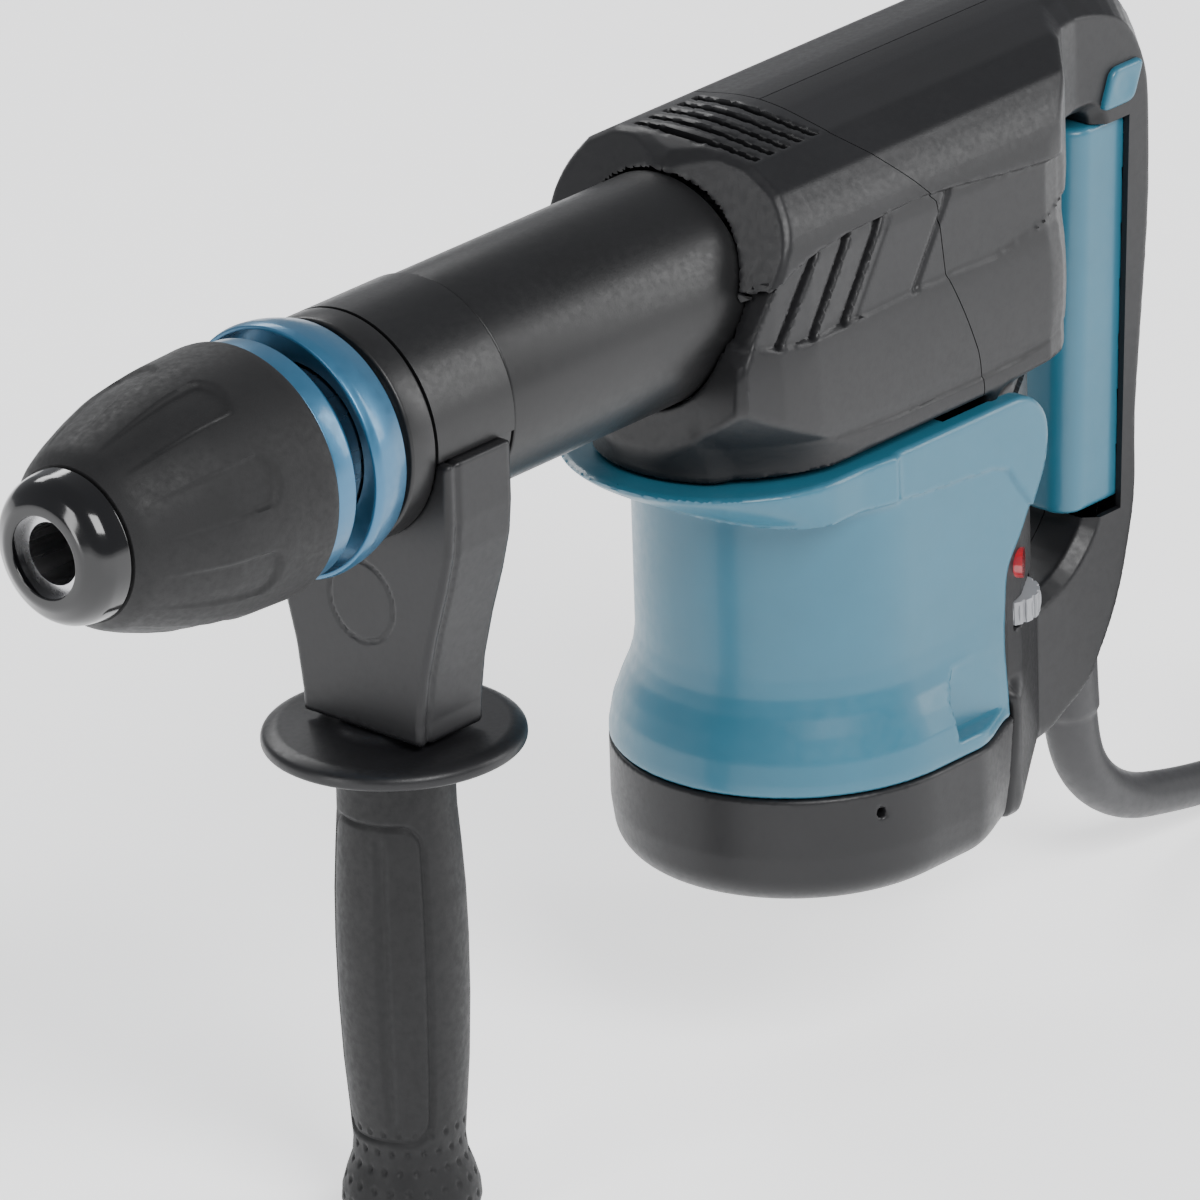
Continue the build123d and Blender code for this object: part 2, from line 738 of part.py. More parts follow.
def switch_box():
    return block(118, 138, -9, 9, -78, -38) + block(115.5, 118, -4, 4, -70, -60)


def lock_button():
    face = make_face(Plane.XZ.offset(8) * Polyline((118, 3), (132, 3), (137, 15), (123, 15), close=True))
    face = fillet(face.vertices(), 3)
    return extrude(face, 11.5)


def button_hole():
    face = make_face(Plane.XZ.offset(5) * Polyline((118, 3), (132, 3), (137, 15), (123, 15), close=True))
    face = fillet(face.vertices(), 3)
    return extrude(offset(face, GAP), 20)


DIAL_X = 58.5
DIAL_Y = -27.0
DIAL_Z = -127.0
DIAL_R = 12.0
DIAL_HALF = 3.5
LAMP_Z = -112.0
LAMP_R = 4.5


def speed_dial():
    wheel = rod_z(DIAL_Z - DIAL_HALF, DIAL_Z + DIAL_HALF, DIAL_R, DIAL_X, DIAL_Y)
    for i in range(18):
        turn = math.radians(20 * i)
        x = DIAL_X + DIAL_R * math.cos(turn)
        y = DIAL_Y + DIAL_R * math.sin(turn)
        wheel -= rod_z(DIAL_Z - 5, DIAL_Z + 5, 0.7, x, y)
    return wheel + rod_z(DIAL_Z - 7, DIAL_Z + 7, 3, DIAL_X, DIAL_Y)


def dial_slot():
    return rod_z(DIAL_Z - DIAL_HALF - 0.5, DIAL_Z + DIAL_HALF + 0.5, DIAL_R + 0.6, DIAL_X, DIAL_Y)


def lamp_bar(radius, depth):
    """Round bar square to the slanted left face behind the motor housing."""
    (x0, y0), (x1, y1) = LOWER_PLAN[1], LOWER_PLAN[2]
    along = Vector(x1 - x0, y0 - y1, 0).normalized()
    outward = Vector(along.Y, -along.X, 0)
    middle = Vector((x0 + x1) / 2, -(y0 + y1) / 2, LAMP_Z)
    return Solid.make_cylinder(radius, depth, Plane(middle - outward * (depth - 0.4), z_dir=outward))


def indicator_lamp():
    return lamp_bar(LAMP_R, 4.0)


def controller():
    return block(52, 62, -14, 22, -112, -66)


# ---------------------------------------------------------------- side grip
def clamp_band():
    x0 = SIDE_X - BLOCK_HALF_X + 0.2
    x1 = NECK_REAR_X - 1.0
    ring = tube_x(x0, x1, COLLAR_R, NECK_R + GAP)
    thin = tube_x(x0 - 1, x1 + 1, COLLAR_R + 1, NECK_R + 1.3)
    return ring - (thin & block(-200, -100, -50, 50, -50, -4))


def grip_base():
    outline = [(-36.5, -4.5), (-36.2, -24), (-34, -38), (-28, -58), (-23.5, -75), (-22.2, BLOCK_BOTTOM_Z)]
    mirrored = [(-y, z) for y, z in reversed(outline)]
    face = make_face(Plane.YZ.offset(SIDE_X - BLOCK_HALF_X) * Polyline(*outline, *mirrored, close=True))
    body = extrude(face, 2 * BLOCK_HALF_X)
    body -= rod_x(-200, -100, NECK_R + 1.3)
    body -= block(SIDE_X - 9.2, SIDE_X + 9.2, -8.2, 8.2, -39.2, -20)
    return body - rod_z(-100, -20, 4.0 + BOLT_FIT, SIDE_X)


def clamp_bolt():
    head = block(SIDE_X - 9, SIDE_X + 9, -8, 8, -39, -34.5)
    saddle = rod_x(-200, -100, NECK_R + 1.3)
    return (head - saddle) + rod_z(-116, -36, 4.0, SIDE_X)


def grip_flange():
    under = FLANGE_Z - FLANGE_THICK
    stem_top = BLOCK_BOTTOM_Z - GAP
    return about_z([
        (4.0 + BOLT_FIT, stem_top),
        (14, stem_top),
        (16, FLANGE_Z - 1),
        (FLANGE_R - 4, FLANGE_Z),
        (FLANGE_R, FLANGE_Z - 2),
        (FLANGE_R, under),
        (FLANGE_R - 3, under),
        (STEM_R, under - 0.5),
        (STEM_R, GRIP_END_Z + 10),
        (0, GRIP_END_Z + 10),
        (0, -128),
        (7.5, -128),
        (7.5, -104),
        (4.0 + BOLT_FIT, -104),
    ], SIDE_X)


def grip_nut():
    nut = extrude(Plane.XY.offset(-112) * RegularPolygon(7.0, 6), 8).moved(Location((SIDE_X, 0, 0)))
    return nut - rod_z(-120, -100, 4.0 + RUN, SIDE_X)


SLEEVE_PROFILE = [
    (16.8, -101),
    (16.8, -118),
    (17.7, -131),
    (18.6, -149),
    (18.6, -180),
    (16.9, -210),
    (15.9, -221),
    (17.0, -228),
    (19.5, -234),
    (19.9, -240),
    (17.5, GRIP_END_Z),
]


def grip_sleeve():
    bore = STEM_R
    core = [(0, GRIP_END_Z), (0, GRIP_END_Z + 10), (bore, GRIP_END_Z + 10), (bore, -101)]
    return about_z(core + SLEEVE_PROFILE, SIDE_X)


# ---------------------------------------------------------------- cord
FLOOR_Z = GRIP_END_Z
LAY_Z = FLOOR_Z + CORD_R
PLUG_X = 260.0              # face of the plug that its pins stand on
PLUG_Y = -94.0
PLUG_Z = -195.5
PLUG_LENGTH = 32.0
PLUG_HALF = 18.0            # half width of the plug
PLUG_HALF_Z = 13.0          # half height of the plug
PLUG_NECK = 8.0             # length of the plug's round neck
PLUG_NECK_R = 7.0
PLUG_PIN_LENGTH = 19.0
PLUG_PIN_R = 2.4
PIN_PITCH = 18.6            # between the two pins
GUARD_ROUTE = [
    (119, 0, -172),
    (119.6, 0, -194),
    (125.6, 0, -212.6),
    (142.7, 0, -226.5),
    (166, 0, -232),
    (184, 0, -235),
    (197, 1, -237.5),
]
LEAD_ROUTE = [
    (197, 1, -237.5),
    (216, 5, -240.5),
    (236, 17, LAY_Z),
    (258, 36, LAY_Z),
    (278, 40.5, LAY_Z),
]
TAIL_ROUTE = [
    (321, 24, -211.5),
    (342, 5.5, -206.5),
    (355, -25, -203.8),
    (356, -61, -202),
    (344, -81.8, -199.5),
    (323.2, -93.8, -196.5),
    (299, PLUG_Y, PLUG_Z),
]
COIL_X = 296.0              # centre of the coil
COIL_Y = -34.0
COIL_MEAN_R = 59.75
COIL_HALF_W = 18.75         # half width of the coil's section
COIL_TOP_Z = -208.5
TIE_HALF_Y = 7.0            # half width of the strap round the coil
TIE_THICK = 1.2             # thickness of that strap


def cord_path(points):
    """Straight runs joined by tangent arcs, each as large as its two runs allow."""
    vectors = [Vector(*p) for p in points]
    radii = []
    for a, b, c in zip(vectors, vectors[1:], vectors[2:]):
        turn = math.radians((b - a).get_angle(c - b))
        radii.append(0.45 * min((b - a).length, (c - b).length) / math.tan(turn / 2))
    print("cord radii", [round(r, 1) for r in radii])
    return FilletPolyline(*vectors, radius=radii)


def cord_tube(points, radius):
    path = cord_path(points)
    section = Plane(path @ 0, z_dir=path % 0) * Circle(radius)
    return sweep(section, path)


def cord_coil():
    inner = COIL_MEAN_R - COIL_HALF_W
    outer = COIL_MEAN_R + COIL_HALF_W
    low = FLOOR_Z
    cut = 8.0
    ring = about_z([
        (inner + cut, low),
        (outer - cut, low),
        (outer, low + cut),
        (outer, COIL_TOP_Z - cut),
        (outer - cut, COIL_TOP_Z),
        (inner + cut, COIL_TOP_Z),
        (inner, COIL_TOP_Z - cut),
        (inner, low + cut),
    ])
    return ring.moved(Location((COIL_X, COIL_Y, 0)))


def cord_tie():
    x0 = COIL_X - COIL_MEAN_R - COIL_HALF_W - TIE_THICK
    x1 = COIL_X - COIL_MEAN_R + COIL_HALF_W + TIE_THICK
    return block(x0, x1, COIL_Y - TIE_HALF_Y, COIL_Y + TIE_HALF_Y, FLOOR_Z, COIL_TOP_Z + TIE_THICK)


def plug_body():
    rear = PLUG_X + PLUG_LENGTH
    low = PLUG_Z - PLUG_HALF_Z
    body = block(PLUG_X, rear, PLUG_Y - PLUG_HALF, PLUG_Y + PLUG_HALF, low, PLUG_Z + PLUG_HALF_Z)
    body = fillet(body.edges().filter_by(Axis.X), 9)
    return body + rod_x(rear, rear + PLUG_NECK, PLUG_NECK_R, PLUG_Y, PLUG_Z)


def plug_pins():
    pins = []
    for side in (-1, 1):
        y = PLUG_Y + side * PIN_PITCH / 2
        pins.append(rod_x(PLUG_X - PLUG_PIN_LENGTH, PLUG_X, PLUG_PIN_R, y, PLUG_Z))
    return pins


# ---------------------------------------------------------------- write every node
shell = black_shell()
front_half = block(-200, PANEL_SEAM_X, -80, 80, BLUE_TOP_Z, 80)
upper_housing = shell & front_half
rest = shell - front_half
dial_cut = dial_slot()
lamp_cut = lamp_bar(LAMP_R, 4.0)
guard_hole = rod_z(-200, -150, GUARD_R, 119, 0)
pin_seat = trigger_pin()
rest = rest - dial_cut - lamp_cut - guard_hole - pin_seat
handle_left = (rest & block(-10, 200, -80, 0, -300, 80)) - button_hole()
handle_right = rest & block(-10, 200, 0, 80, -300, 80)

save("nose_cap", nose_cap())
save("tool_holder", tool_holder())
save("roller_upper", roller(1))
save("roller_lower", roller(-1))
save("release_cover", release_cover())
save("cover_band", cover_band())
save("release_spring", release_spring())
save("change_ring", change_ring())
save("detent_washer", detent_washer())
save("front_ring", front_ring())
save("barrel", barrel())
save("cylinder", cylinder())
save("piston", piston())
save("piston_ring", o_ring(PISTON_GROOVE_X, CYLINDER_R - RUN))
save("piston_pin", piston_pin())
save("connecting_rod", connecting_rod())
save("striker", striker())
save("striker_ring", o_ring(STRIKER_GROOVE_X, CYLINDER_R - RUN))
save("impact_bolt", impact_bolt())
save("impact_damper", impact_damper())
save("crank_shaft", crank_shaft())
save("crank_gear", crank_gear())
crank_lower = bearing(FLOOR_Z0 + 4.5, FLOOR_Z1, CRANK_X, 6.0, 11.0)
crank_upper = bearing(-32.5, -23.0, CRANK_X, 6.0, 15.0)
save("crank_bearings", crank_lower, crank_upper)
save("armature_shaft", armature_shaft())
save("armature_core", armature_core())
save("armature_winding", *winding())
save("commutator", commutator())
armature_upper = bearing(FLOOR_Z0 + 4.5, FLOOR_Z1, 0, SHAFT_R, 13.0)
armature_lower = bearing(-169, -161, 0, SHAFT_R, 11.0)
save("armature_bearings", armature_upper, armature_lower)
save("fan", fan())
save("stator", stator())
holders, brushes = brush_parts()
save("brush_holders", *holders)
save("carbon_brushes", *brushes)
save("air_baffle", air_baffle())
save("gear_housing", gear_housing())
save("crank_cover", crank_cover())
save("upper_housing", upper_housing)
save("handle_left", handle_left)
save("handle_right", handle_right)
save("motor_housing", motor_housing())
save("bottom_cover", bottom_cover())
save("trigger", trigger())
save("trigger_pin", trigger_pin())
save("switch_box", switch_box())
save("lock_button", lock_button())
save("speed_dial", speed_dial())
save("indicator_lamp", indicator_lamp())
save("controller", controller())
save("clamp_band", clamp_band())
save("grip_base", grip_base())
save("clamp_bolt", clamp_bolt())
save("grip_flange", grip_flange())
save("grip_nut", grip_nut())
save("grip_sleeve", grip_sleeve())
guard = cord_tube(GUARD_ROUTE, GUARD_TIP_R + 1.0)
coil = cord_coil()
cord_lead = cord_tube(LEAD_ROUTE, CORD_R) - coil - guard
cord_tail = cord_tube(TAIL_ROUTE, CORD_R) - coil - plug_body()
save("cord_guard", guard)
save("cord_lead", cord_lead)
save("cord_coil", coil)
save("cord_tail", cord_tail)
save("cord_tie", cord_tie() - coil)
save("plug", plug_body(), *plug_pins())
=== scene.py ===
import json
import math

import bmesh
import bpy
import numpy as np
from mathutils import Matrix, Vector


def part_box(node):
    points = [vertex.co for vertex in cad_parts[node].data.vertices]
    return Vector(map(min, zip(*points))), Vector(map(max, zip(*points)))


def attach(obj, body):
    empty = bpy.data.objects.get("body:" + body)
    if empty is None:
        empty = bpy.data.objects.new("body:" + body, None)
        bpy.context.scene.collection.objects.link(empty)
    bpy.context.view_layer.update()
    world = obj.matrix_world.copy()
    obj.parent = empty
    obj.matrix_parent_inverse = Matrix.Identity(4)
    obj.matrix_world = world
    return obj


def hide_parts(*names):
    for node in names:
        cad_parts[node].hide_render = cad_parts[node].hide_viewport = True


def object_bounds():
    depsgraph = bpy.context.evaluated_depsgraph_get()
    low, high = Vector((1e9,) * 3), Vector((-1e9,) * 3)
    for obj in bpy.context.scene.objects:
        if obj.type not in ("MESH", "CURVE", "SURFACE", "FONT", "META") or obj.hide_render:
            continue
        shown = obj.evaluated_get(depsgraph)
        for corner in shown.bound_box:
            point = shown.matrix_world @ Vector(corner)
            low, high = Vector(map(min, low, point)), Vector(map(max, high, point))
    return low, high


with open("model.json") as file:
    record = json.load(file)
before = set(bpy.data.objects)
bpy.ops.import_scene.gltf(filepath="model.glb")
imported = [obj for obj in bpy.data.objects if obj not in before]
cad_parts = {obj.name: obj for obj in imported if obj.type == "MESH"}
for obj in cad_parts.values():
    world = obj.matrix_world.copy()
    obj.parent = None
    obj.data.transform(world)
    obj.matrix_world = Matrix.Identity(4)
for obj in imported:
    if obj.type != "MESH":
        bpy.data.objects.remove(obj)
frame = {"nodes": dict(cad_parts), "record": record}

bl_info = {
    "name": "Demolition Hammer Finish",
    "version": (1, 0, 0),
    "blender": (4, 5, 0),
    "location": "View3D > Sidebar > Hammer",
    "description": "Detailed shells, grips, chuck, cord and finishes for an electric demolition hammer",
    "category": "Object",
}

# The pieces are worked out in millimetres about the hammer's two working axes: the striking
# axis is the X axis and the motor axis is the Z axis. The frame says where those two stand.
MM = 0.001
CAD_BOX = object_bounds()
MOUNTS = {mount["name"]: mount for mount in frame["record"]["mounts"]}
MOTOR_X = MOUNTS["base_face"]["pos_m"][0]
STRIKE_Z = MOUNTS["tool_socket"]["pos_m"][2]
FLOOR_Z = CAD_BOX[0].z
FLOOR = (FLOOR_Z - STRIKE_Z) / MM


def span(node):
    """Lowest and highest corner of a CAD node, in mm about the working axes."""
    low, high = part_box(node)
    shift = Vector((MOTOR_X, 0, STRIKE_Z))
    return (low - shift) / MM, (high - shift) / MM


def in_frame(points):
    """Points in mm about the working axes, as metres in the frame."""
    return np.asarray(points, float) * MM + np.array((MOTOR_X, 0, STRIKE_Z))


# ---------------------------------------------------------------- settings
class HammerHousing(bpy.types.PropertyGroup):
    """Sizes of the plastic housing."""

    cell: bpy.props.FloatProperty(
        name="Cell", description="Mesh size of the moulded shells, mm", default=1.0, min=0.5, max=4.0
    )
    wall: bpy.props.FloatProperty(
        name="Wall", description="Wall of the moulded shells, mm", default=2.0, min=0.5, max=4.0
    )
    seam: bpy.props.FloatProperty(
        name="Seam", description="Open seam between two mouldings, mm", default=0.35, min=0.1, max=1.0
    )
    louvre_pitch: bpy.props.FloatProperty(
        name="Louvre pitch", description="Distance between the side louvres, mm", default=13.3
    )
    screw_head: bpy.props.FloatProperty(
        name="Screw head", description="Radius of a case screw's head, mm", default=3.1
    )


class HammerChuck(bpy.types.PropertyGroup):
    """Sizes of the chuck."""

    pads: bpy.props.IntProperty(
        name="Finger pads", description="Flats with a finger step round the release cover", default=8, min=3
    )
    pad_depth: bpy.props.FloatProperty(
        name="Pad depth", description="Depth of a flat at its finger step, mm", default=1.2
    )


class HammerGrip(bpy.types.PropertyGroup):
    """Sizes of the side grip."""

    palm_angle: bpy.props.FloatProperty(
        name="Palm panel turn", description="Direction that the palm panel faces",
        default=math.radians(190), subtype="ANGLE", unit="ROTATION",
    )
    dimple: bpy.props.FloatProperty(
        name="Dimple", description="Radius of a dimple on the end of the grip, mm", default=0.9
    )


class HammerCord(bpy.types.PropertyGroup):
    """Sizes of the mains cord."""

    length: bpy.props.FloatProperty(
        name="Length", description="Length of the mains cord", default=5.0, unit="LENGTH"
    )
    diameter: bpy.props.FloatProperty(
        name="Diameter", description="Outside diameter of the mains cord", default=0.009, unit="LENGTH"
    )


class HammerColours(bpy.types.PropertyGroup):
    """Colours of the mouldings."""

    blue: bpy.props.FloatVectorProperty(
        name="Blue mouldings", description="Colour of the motor housing and the paddle",
        default=(0.026, 0.128, 0.192), subtype="COLOR", size=3, min=0, max=1,
    )
    black: bpy.props.FloatVectorProperty(
        name="Black mouldings", description="Colour of the upper housing and the handle",
        default=(0.0085, 0.0085, 0.0095), subtype="COLOR", size=3, min=0, max=1,
    )
    ring: bpy.props.FloatVectorProperty(
        name="Blue rings", description="Colour of the rings on the chuck",
        default=(0.035, 0.14, 0.25), subtype="COLOR", size=3, min=0, max=1,
    )


# ---------------------------------------------------------------- finishes
def node_tree(material):
    material.use_nodes = True
    tree = material.node_tree
    return tree, tree.nodes["Principled BSDF"]


def add(tree, kind, **values):
    """A node of a tree, with values for its inputs by name."""
    node = tree.nodes.new(kind)
    for name, value in values.items():
        key = name.replace("_", " ")
        if key in node.inputs:
            node.inputs[key].default_value = value
        else:
            setattr(node, name, value)
    return node


def object_noise(tree, scale, detail=4.0, stretch=(1, 1, 1)):
    """Noise on Object coordinates; scale is per metre."""
    place = add(tree, "ShaderNodeTexCoord")
    mapping = add(tree, "ShaderNodeMapping", Scale=stretch)
    noise = add(tree, "ShaderNodeTexNoise", Scale=scale, Detail=detail, Roughness=0.55)
    tree.links.new(place.outputs["Object"], mapping.inputs["Vector"])
    tree.links.new(mapping.outputs["Vector"], noise.inputs["Vector"])
    return noise.outputs["Fac"]


def ramp(tree, factor, low, high, start=0.3, end=0.7):
    """A factor spread between two numbers."""
    node = add(tree, "ShaderNodeMapRange")
    node.inputs["From Min"].default_value = start
    node.inputs["From Max"].default_value = end
    node.inputs["To Min"].default_value = low
    node.inputs["To Max"].default_value = high
    tree.links.new(factor, node.inputs["Value"])
    return node.outputs["Result"]


def two_tone(tree, factor, dark, light, start=0.3, end=0.7):
    node = add(tree, "ShaderNodeValToRGB")
    node.color_ramp.elements[0].position = start
    node.color_ramp.elements[1].position = end
    node.color_ramp.elements[0].color = (*dark, 1)
    node.color_ramp.elements[1].color = (*light, 1)
    tree.links.new(factor, node.inputs["Fac"])
    return node.outputs["Color"]


def relief(tree, shader, *layers):
    """Chain of bumps on a shader, from (factor, distance in metres, strength) layers."""
    last = None
    for factor, distance, strength in layers:
        bump = add(tree, "ShaderNodeBump", Strength=strength, Distance=distance)
        tree.links.new(factor, bump.inputs["Height"])
        if last:
            tree.links.new(last, bump.inputs["Normal"])
        last = bump.outputs["Normal"]
    tree.links.new(last, shader.inputs["Normal"])


def shade(colour, factor):
    return tuple(min(1.0, c * factor) for c in colour)


def finish(name, colour, rough, grain, depth, tone=0.12, metallic=0.0, coat=0.0, sheen=0.0,
           stretch=(1, 1, 1), spread=0.08, specular=0.5):
    """A finish with mottled colour, uneven gloss and a fine relief; grain is per metre, depth in metres."""
    material = bpy.data.materials.new(name)
    tree, shader = node_tree(material)
    shader.inputs["Metallic"].default_value = metallic
    shader.inputs["Coat Weight"].default_value = coat
    shader.inputs["Coat Roughness"].default_value = 0.12
    shader.inputs["Sheen Weight"].default_value = sheen
    shader.inputs["Specular IOR Level"].default_value = specular
    broad = object_noise(tree, 34, 3.0, stretch)
    fine = object_noise(tree, grain, 2.0, stretch)
    colours = two_tone(tree, broad, shade(colour, 1 - tone), shade(colour, 1 + tone))
    tree.links.new(colours, shader.inputs["Base Color"])
    uneven = object_noise(tree, grain * 0.21, 3.0, stretch)
    tree.links.new(ramp(tree, uneven, rough - spread, rough + spread), shader.inputs["Roughness"])
    relief(tree, shader, (broad, 0.0003, 0.06), (fine, depth, 0.35))
    return material


def banded(name, colour, other, pitch, axis, rough, metallic):
    """A finish of thin bands across an axis, for stacked sheet and windings; pitch in metres."""
    material = bpy.data.materials.new(name)
    tree, shader = node_tree(material)
    shader.inputs["Metallic"].default_value = metallic
    place = add(tree, "ShaderNodeTexCoord")
    wave = add(tree, "ShaderNodeTexWave", bands_direction=axis, Scale=0.31416 / pitch, Distortion=0.4)
    tree.links.new(place.outputs["Object"], wave.inputs["Vector"])
    colours = two_tone(tree, wave.outputs["Fac"], other, colour, 0.2, 0.6)
    tree.links.new(colours, shader.inputs["Base Color"])
    grain = object_noise(tree, 900)
    tree.links.new(ramp(tree, grain, rough - 0.08, rough + 0.1), shader.inputs["Roughness"])
    relief(tree, shader, (wave.outputs["Fac"], pitch * 0.5, 0.5))
    return material


def lens_finish(name, colour):
    """Clear red lens with a mottled colour, uneven gloss and a faint relief."""
    material = bpy.data.materials.new(name)
    tree, shader = node_tree(material)
    shader.inputs["Coat Weight"].default_value = 1.0
    shader.inputs["Coat Roughness"].default_value = 0.03
    shader.inputs["Subsurface Weight"].default_value = 0.3
    shader.inputs["Subsurface Radius"].default_value = (0.004, 0.001, 0.001)
    broad = object_noise(tree, 400)
    tree.links.new(two_tone(tree, broad, shade(colour, 0.7), shade(colour, 1.2)), shader.inputs["Base Color"])
    tree.links.new(ramp(tree, broad, 0.08, 0.2), shader.inputs["Roughness"])
    relief(tree, shader, (broad, 0.0002, 0.1))
    return material


FINISHES = {}


def make_finishes(colours):
    """Every finish of the hammer, by the name of its slot."""
    blue, black, ring = tuple(colours.blue), tuple(colours.black), tuple(colours.ring)
    FINISHES.update({
        "black_plastic": finish("black_plastic", black, 0.40, 2600, 0.00005, spread=0.05, specular=0.38),
        "blue_plastic": finish("blue_plastic", blue, 0.36, 1500, 0.00003, tone=0.05, coat=0.12, spread=0.05),
        "blue_ring": finish("blue_ring", ring, 0.36, 1800, 0.00002, tone=0.05, metallic=0.55, coat=0.35),
        "soft_rubber": finish(
            "soft_rubber", (0.0075, 0.0075, 0.008), 0.58, 2200, 0.00007, sheen=0.03, specular=0.3),
        "gloss_black": finish(
            "gloss_black", (0.0035, 0.0035, 0.004), 0.13, 700, 0.00001,
            coat=0.45, spread=0.03, specular=0.35),
        "barrel_black": finish(
            "barrel_black", (0.008, 0.008, 0.0085), 0.36, 2200, 0.00004, spread=0.05, specular=0.4),
        "steel": finish("steel", (0.56, 0.56, 0.57), 0.26, 900, 0.00003, metallic=1.0, stretch=(0.06, 1, 1)),
        "cast_alloy": finish("cast_alloy", (0.52, 0.53, 0.54), 0.48, 800, 0.0002, metallic=1.0),
        "copper_wire": banded("copper_wire", (0.62, 0.27, 0.11), (0.20, 0.07, 0.03), 0.0009, "Z", 0.3, 1.0),
        "laminations": banded("laminations", (0.32, 0.32, 0.34), (0.10, 0.10, 0.11), 0.0006, "Z", 0.45, 0.9),
        "inner_plastic": finish("inner_plastic", (0.07, 0.07, 0.075), 0.5, 1500, 0.00005),
        "grey_plastic": finish("grey_plastic", (0.26, 0.265, 0.28), 0.42, 1900, 0.00004, tone=0.06),
        "red_lens": lens_finish("red_lens", (0.45, 0.02, 0.03)),
        "cord_rubber": finish("cord_rubber", (0.03, 0.03, 0.032), 0.47, 1700, 0.00006, sheen=0.05),
    })


# ---------------------------------------------------------------- mesh helpers
def piece_from(name, points, faces):
    """A mesh object at the origin, from points in mm about the working axes."""
    mesh = bpy.data.meshes.new(name)
    mesh.from_pydata(in_frame(points).tolist(), [], [list(face) for face in faces])
    mesh.update()
    made = bpy.data.objects.new(name, mesh)
    bpy.context.scene.collection.objects.link(made)
    return made


def tidy_mesh(piece, smooth_angle=None):
    """Merges doubles, turns the faces outwards and shades the piece smooth."""
    form = bmesh.new()
    form.from_mesh(piece.data)
    bmesh.ops.remove_doubles(form, verts=form.verts, dist=2e-6)
    bmesh.ops.recalc_face_normals(form, faces=form.faces)
    form.to_mesh(piece.data)
    form.free()
    for polygon in piece.data.polygons:
        polygon.use_smooth = True
    if smooth_angle is not None:
        piece.data.set_sharp_from_angle(angle=math.radians(smooth_angle))


def settle(piece):
    """Turns a piece with modifiers into a plain mesh."""
    bpy.context.view_layer.update()
    seen = bpy.context.evaluated_depsgraph_get()
    mesh = bpy.data.meshes.new_from_object(piece.evaluated_get(seen), depsgraph=seen)
    piece.modifiers.clear()
    piece.data = mesh
    mesh.name = piece.name
    return piece


def fit(piece, body, slot_name, *nodes):
    """Gives a piece its finish and its body, and hides the CAD nodes that it stands for."""
    piece.data.materials.clear()
    piece.data.materials.append(FINISHES[slot_name])
    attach(piece, body)
    if nodes:
        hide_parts(*nodes)
    return piece


def round_off(points, radius, steps=4, closed=True):
    """Outline with its corners rounded. A point's own third number is its own radius."""
    made = []
    count = len(points)
    for i, point in enumerate(points):
        here = np.array(point[:2], float)
        own = point[2] if len(point) > 2 else radius
        if own <= 0 or (not closed and i in (0, count - 1)):
            made.append(tuple(here))
            continue
        before = np.array(points[i - 1][:2], float) - here
        after = np.array(points[(i + 1) % count][:2], float) - here
        reach = min(own, np.hypot(*before) * 0.48, np.hypot(*after) * 0.48)
        first = here + before / np.hypot(*before) * reach
        last = here + after / np.hypot(*after) * reach
        for k in range(steps + 1):
            t = k / steps
            made.append(tuple((1 - t) ** 2 * first + 2 * t * (1 - t) * here + t * t * last))
    return made


def turned(name, along, radius, axis, centre, sharp_angle):
    """Closed solid of revolution about the striking axis, or about a vertical one at centre.

    Each place along the axis has its own row of radii, one for each turn.
    """
    rows, segments = radius.shape
    turns = np.linspace(0, 2 * math.pi, segments, endpoint=False)
    ring_a = radius * np.cos(turns)
    ring_b = radius * np.sin(turns)
    length = np.repeat(along[:, None], segments, 1)
    if axis == "X":
        points = np.stack([length, ring_a, ring_b], -1)
    else:
        points = np.stack([ring_a + centre, ring_b, length], -1)
    faces = []
    for i in range(rows):
        j = (i + 1) % rows
        if radius[i].max() == 0 and radius[j].max() == 0:
            continue
        for k in range(segments):
            n = (k + 1) % segments
            faces.append((i * segments + k, i * segments + n, j * segments + n, j * segments + k))
    made = piece_from(name, points.reshape(-1, 3), faces)
    tidy_mesh(made, sharp_angle)
    return made


def lathe(name, profile, axis="X", centre=0.0, segments=128):
    """Plain turned solid from (along, radius) points."""
    along, radius = np.array([point[:2] for point in profile], float).T
    return turned(name, along, np.repeat(radius[:, None], segments, 1), axis, centre, 40)


# ---------------------------------------------------------------- forms as distance fields
def both(a, b, r=0.0):
    """Where both forms are, with a rounded edge of radius r."""
    if np.isscalar(r) and r <= 0:
        return np.maximum(a, b)
    return np.minimum(-r, np.maximum(a, b)) + np.hypot(np.maximum(a + r, 0), np.maximum(b + r, 0))


def either(a, b, r=0.0):
    """Where either form is, with a hollow fillet of radius r."""
    return -both(-a, -b, r)


def without(a, b, r=0.0):
    """The first form with the second cut out of it."""
    return both(a, -b, r)


def smooth(t):
    """0 below 0, 1 above 1, and an even curve between."""
    t = np.clip(t, 0, 1)
    return t * t * (3 - 2 * t)


def window(t, low, high, soft):
    """1 between two values of t, falling to 0 over a soft edge outside them."""
    return smooth((t - low) / soft + 1) * smooth((high - t) / soft + 1)


def curve_through(t, pairs):
    """Value at t on straight lines through (t, value) pairs."""
    return np.interp(t, [p[0] for p in pairs], [p[1] for p in pairs])


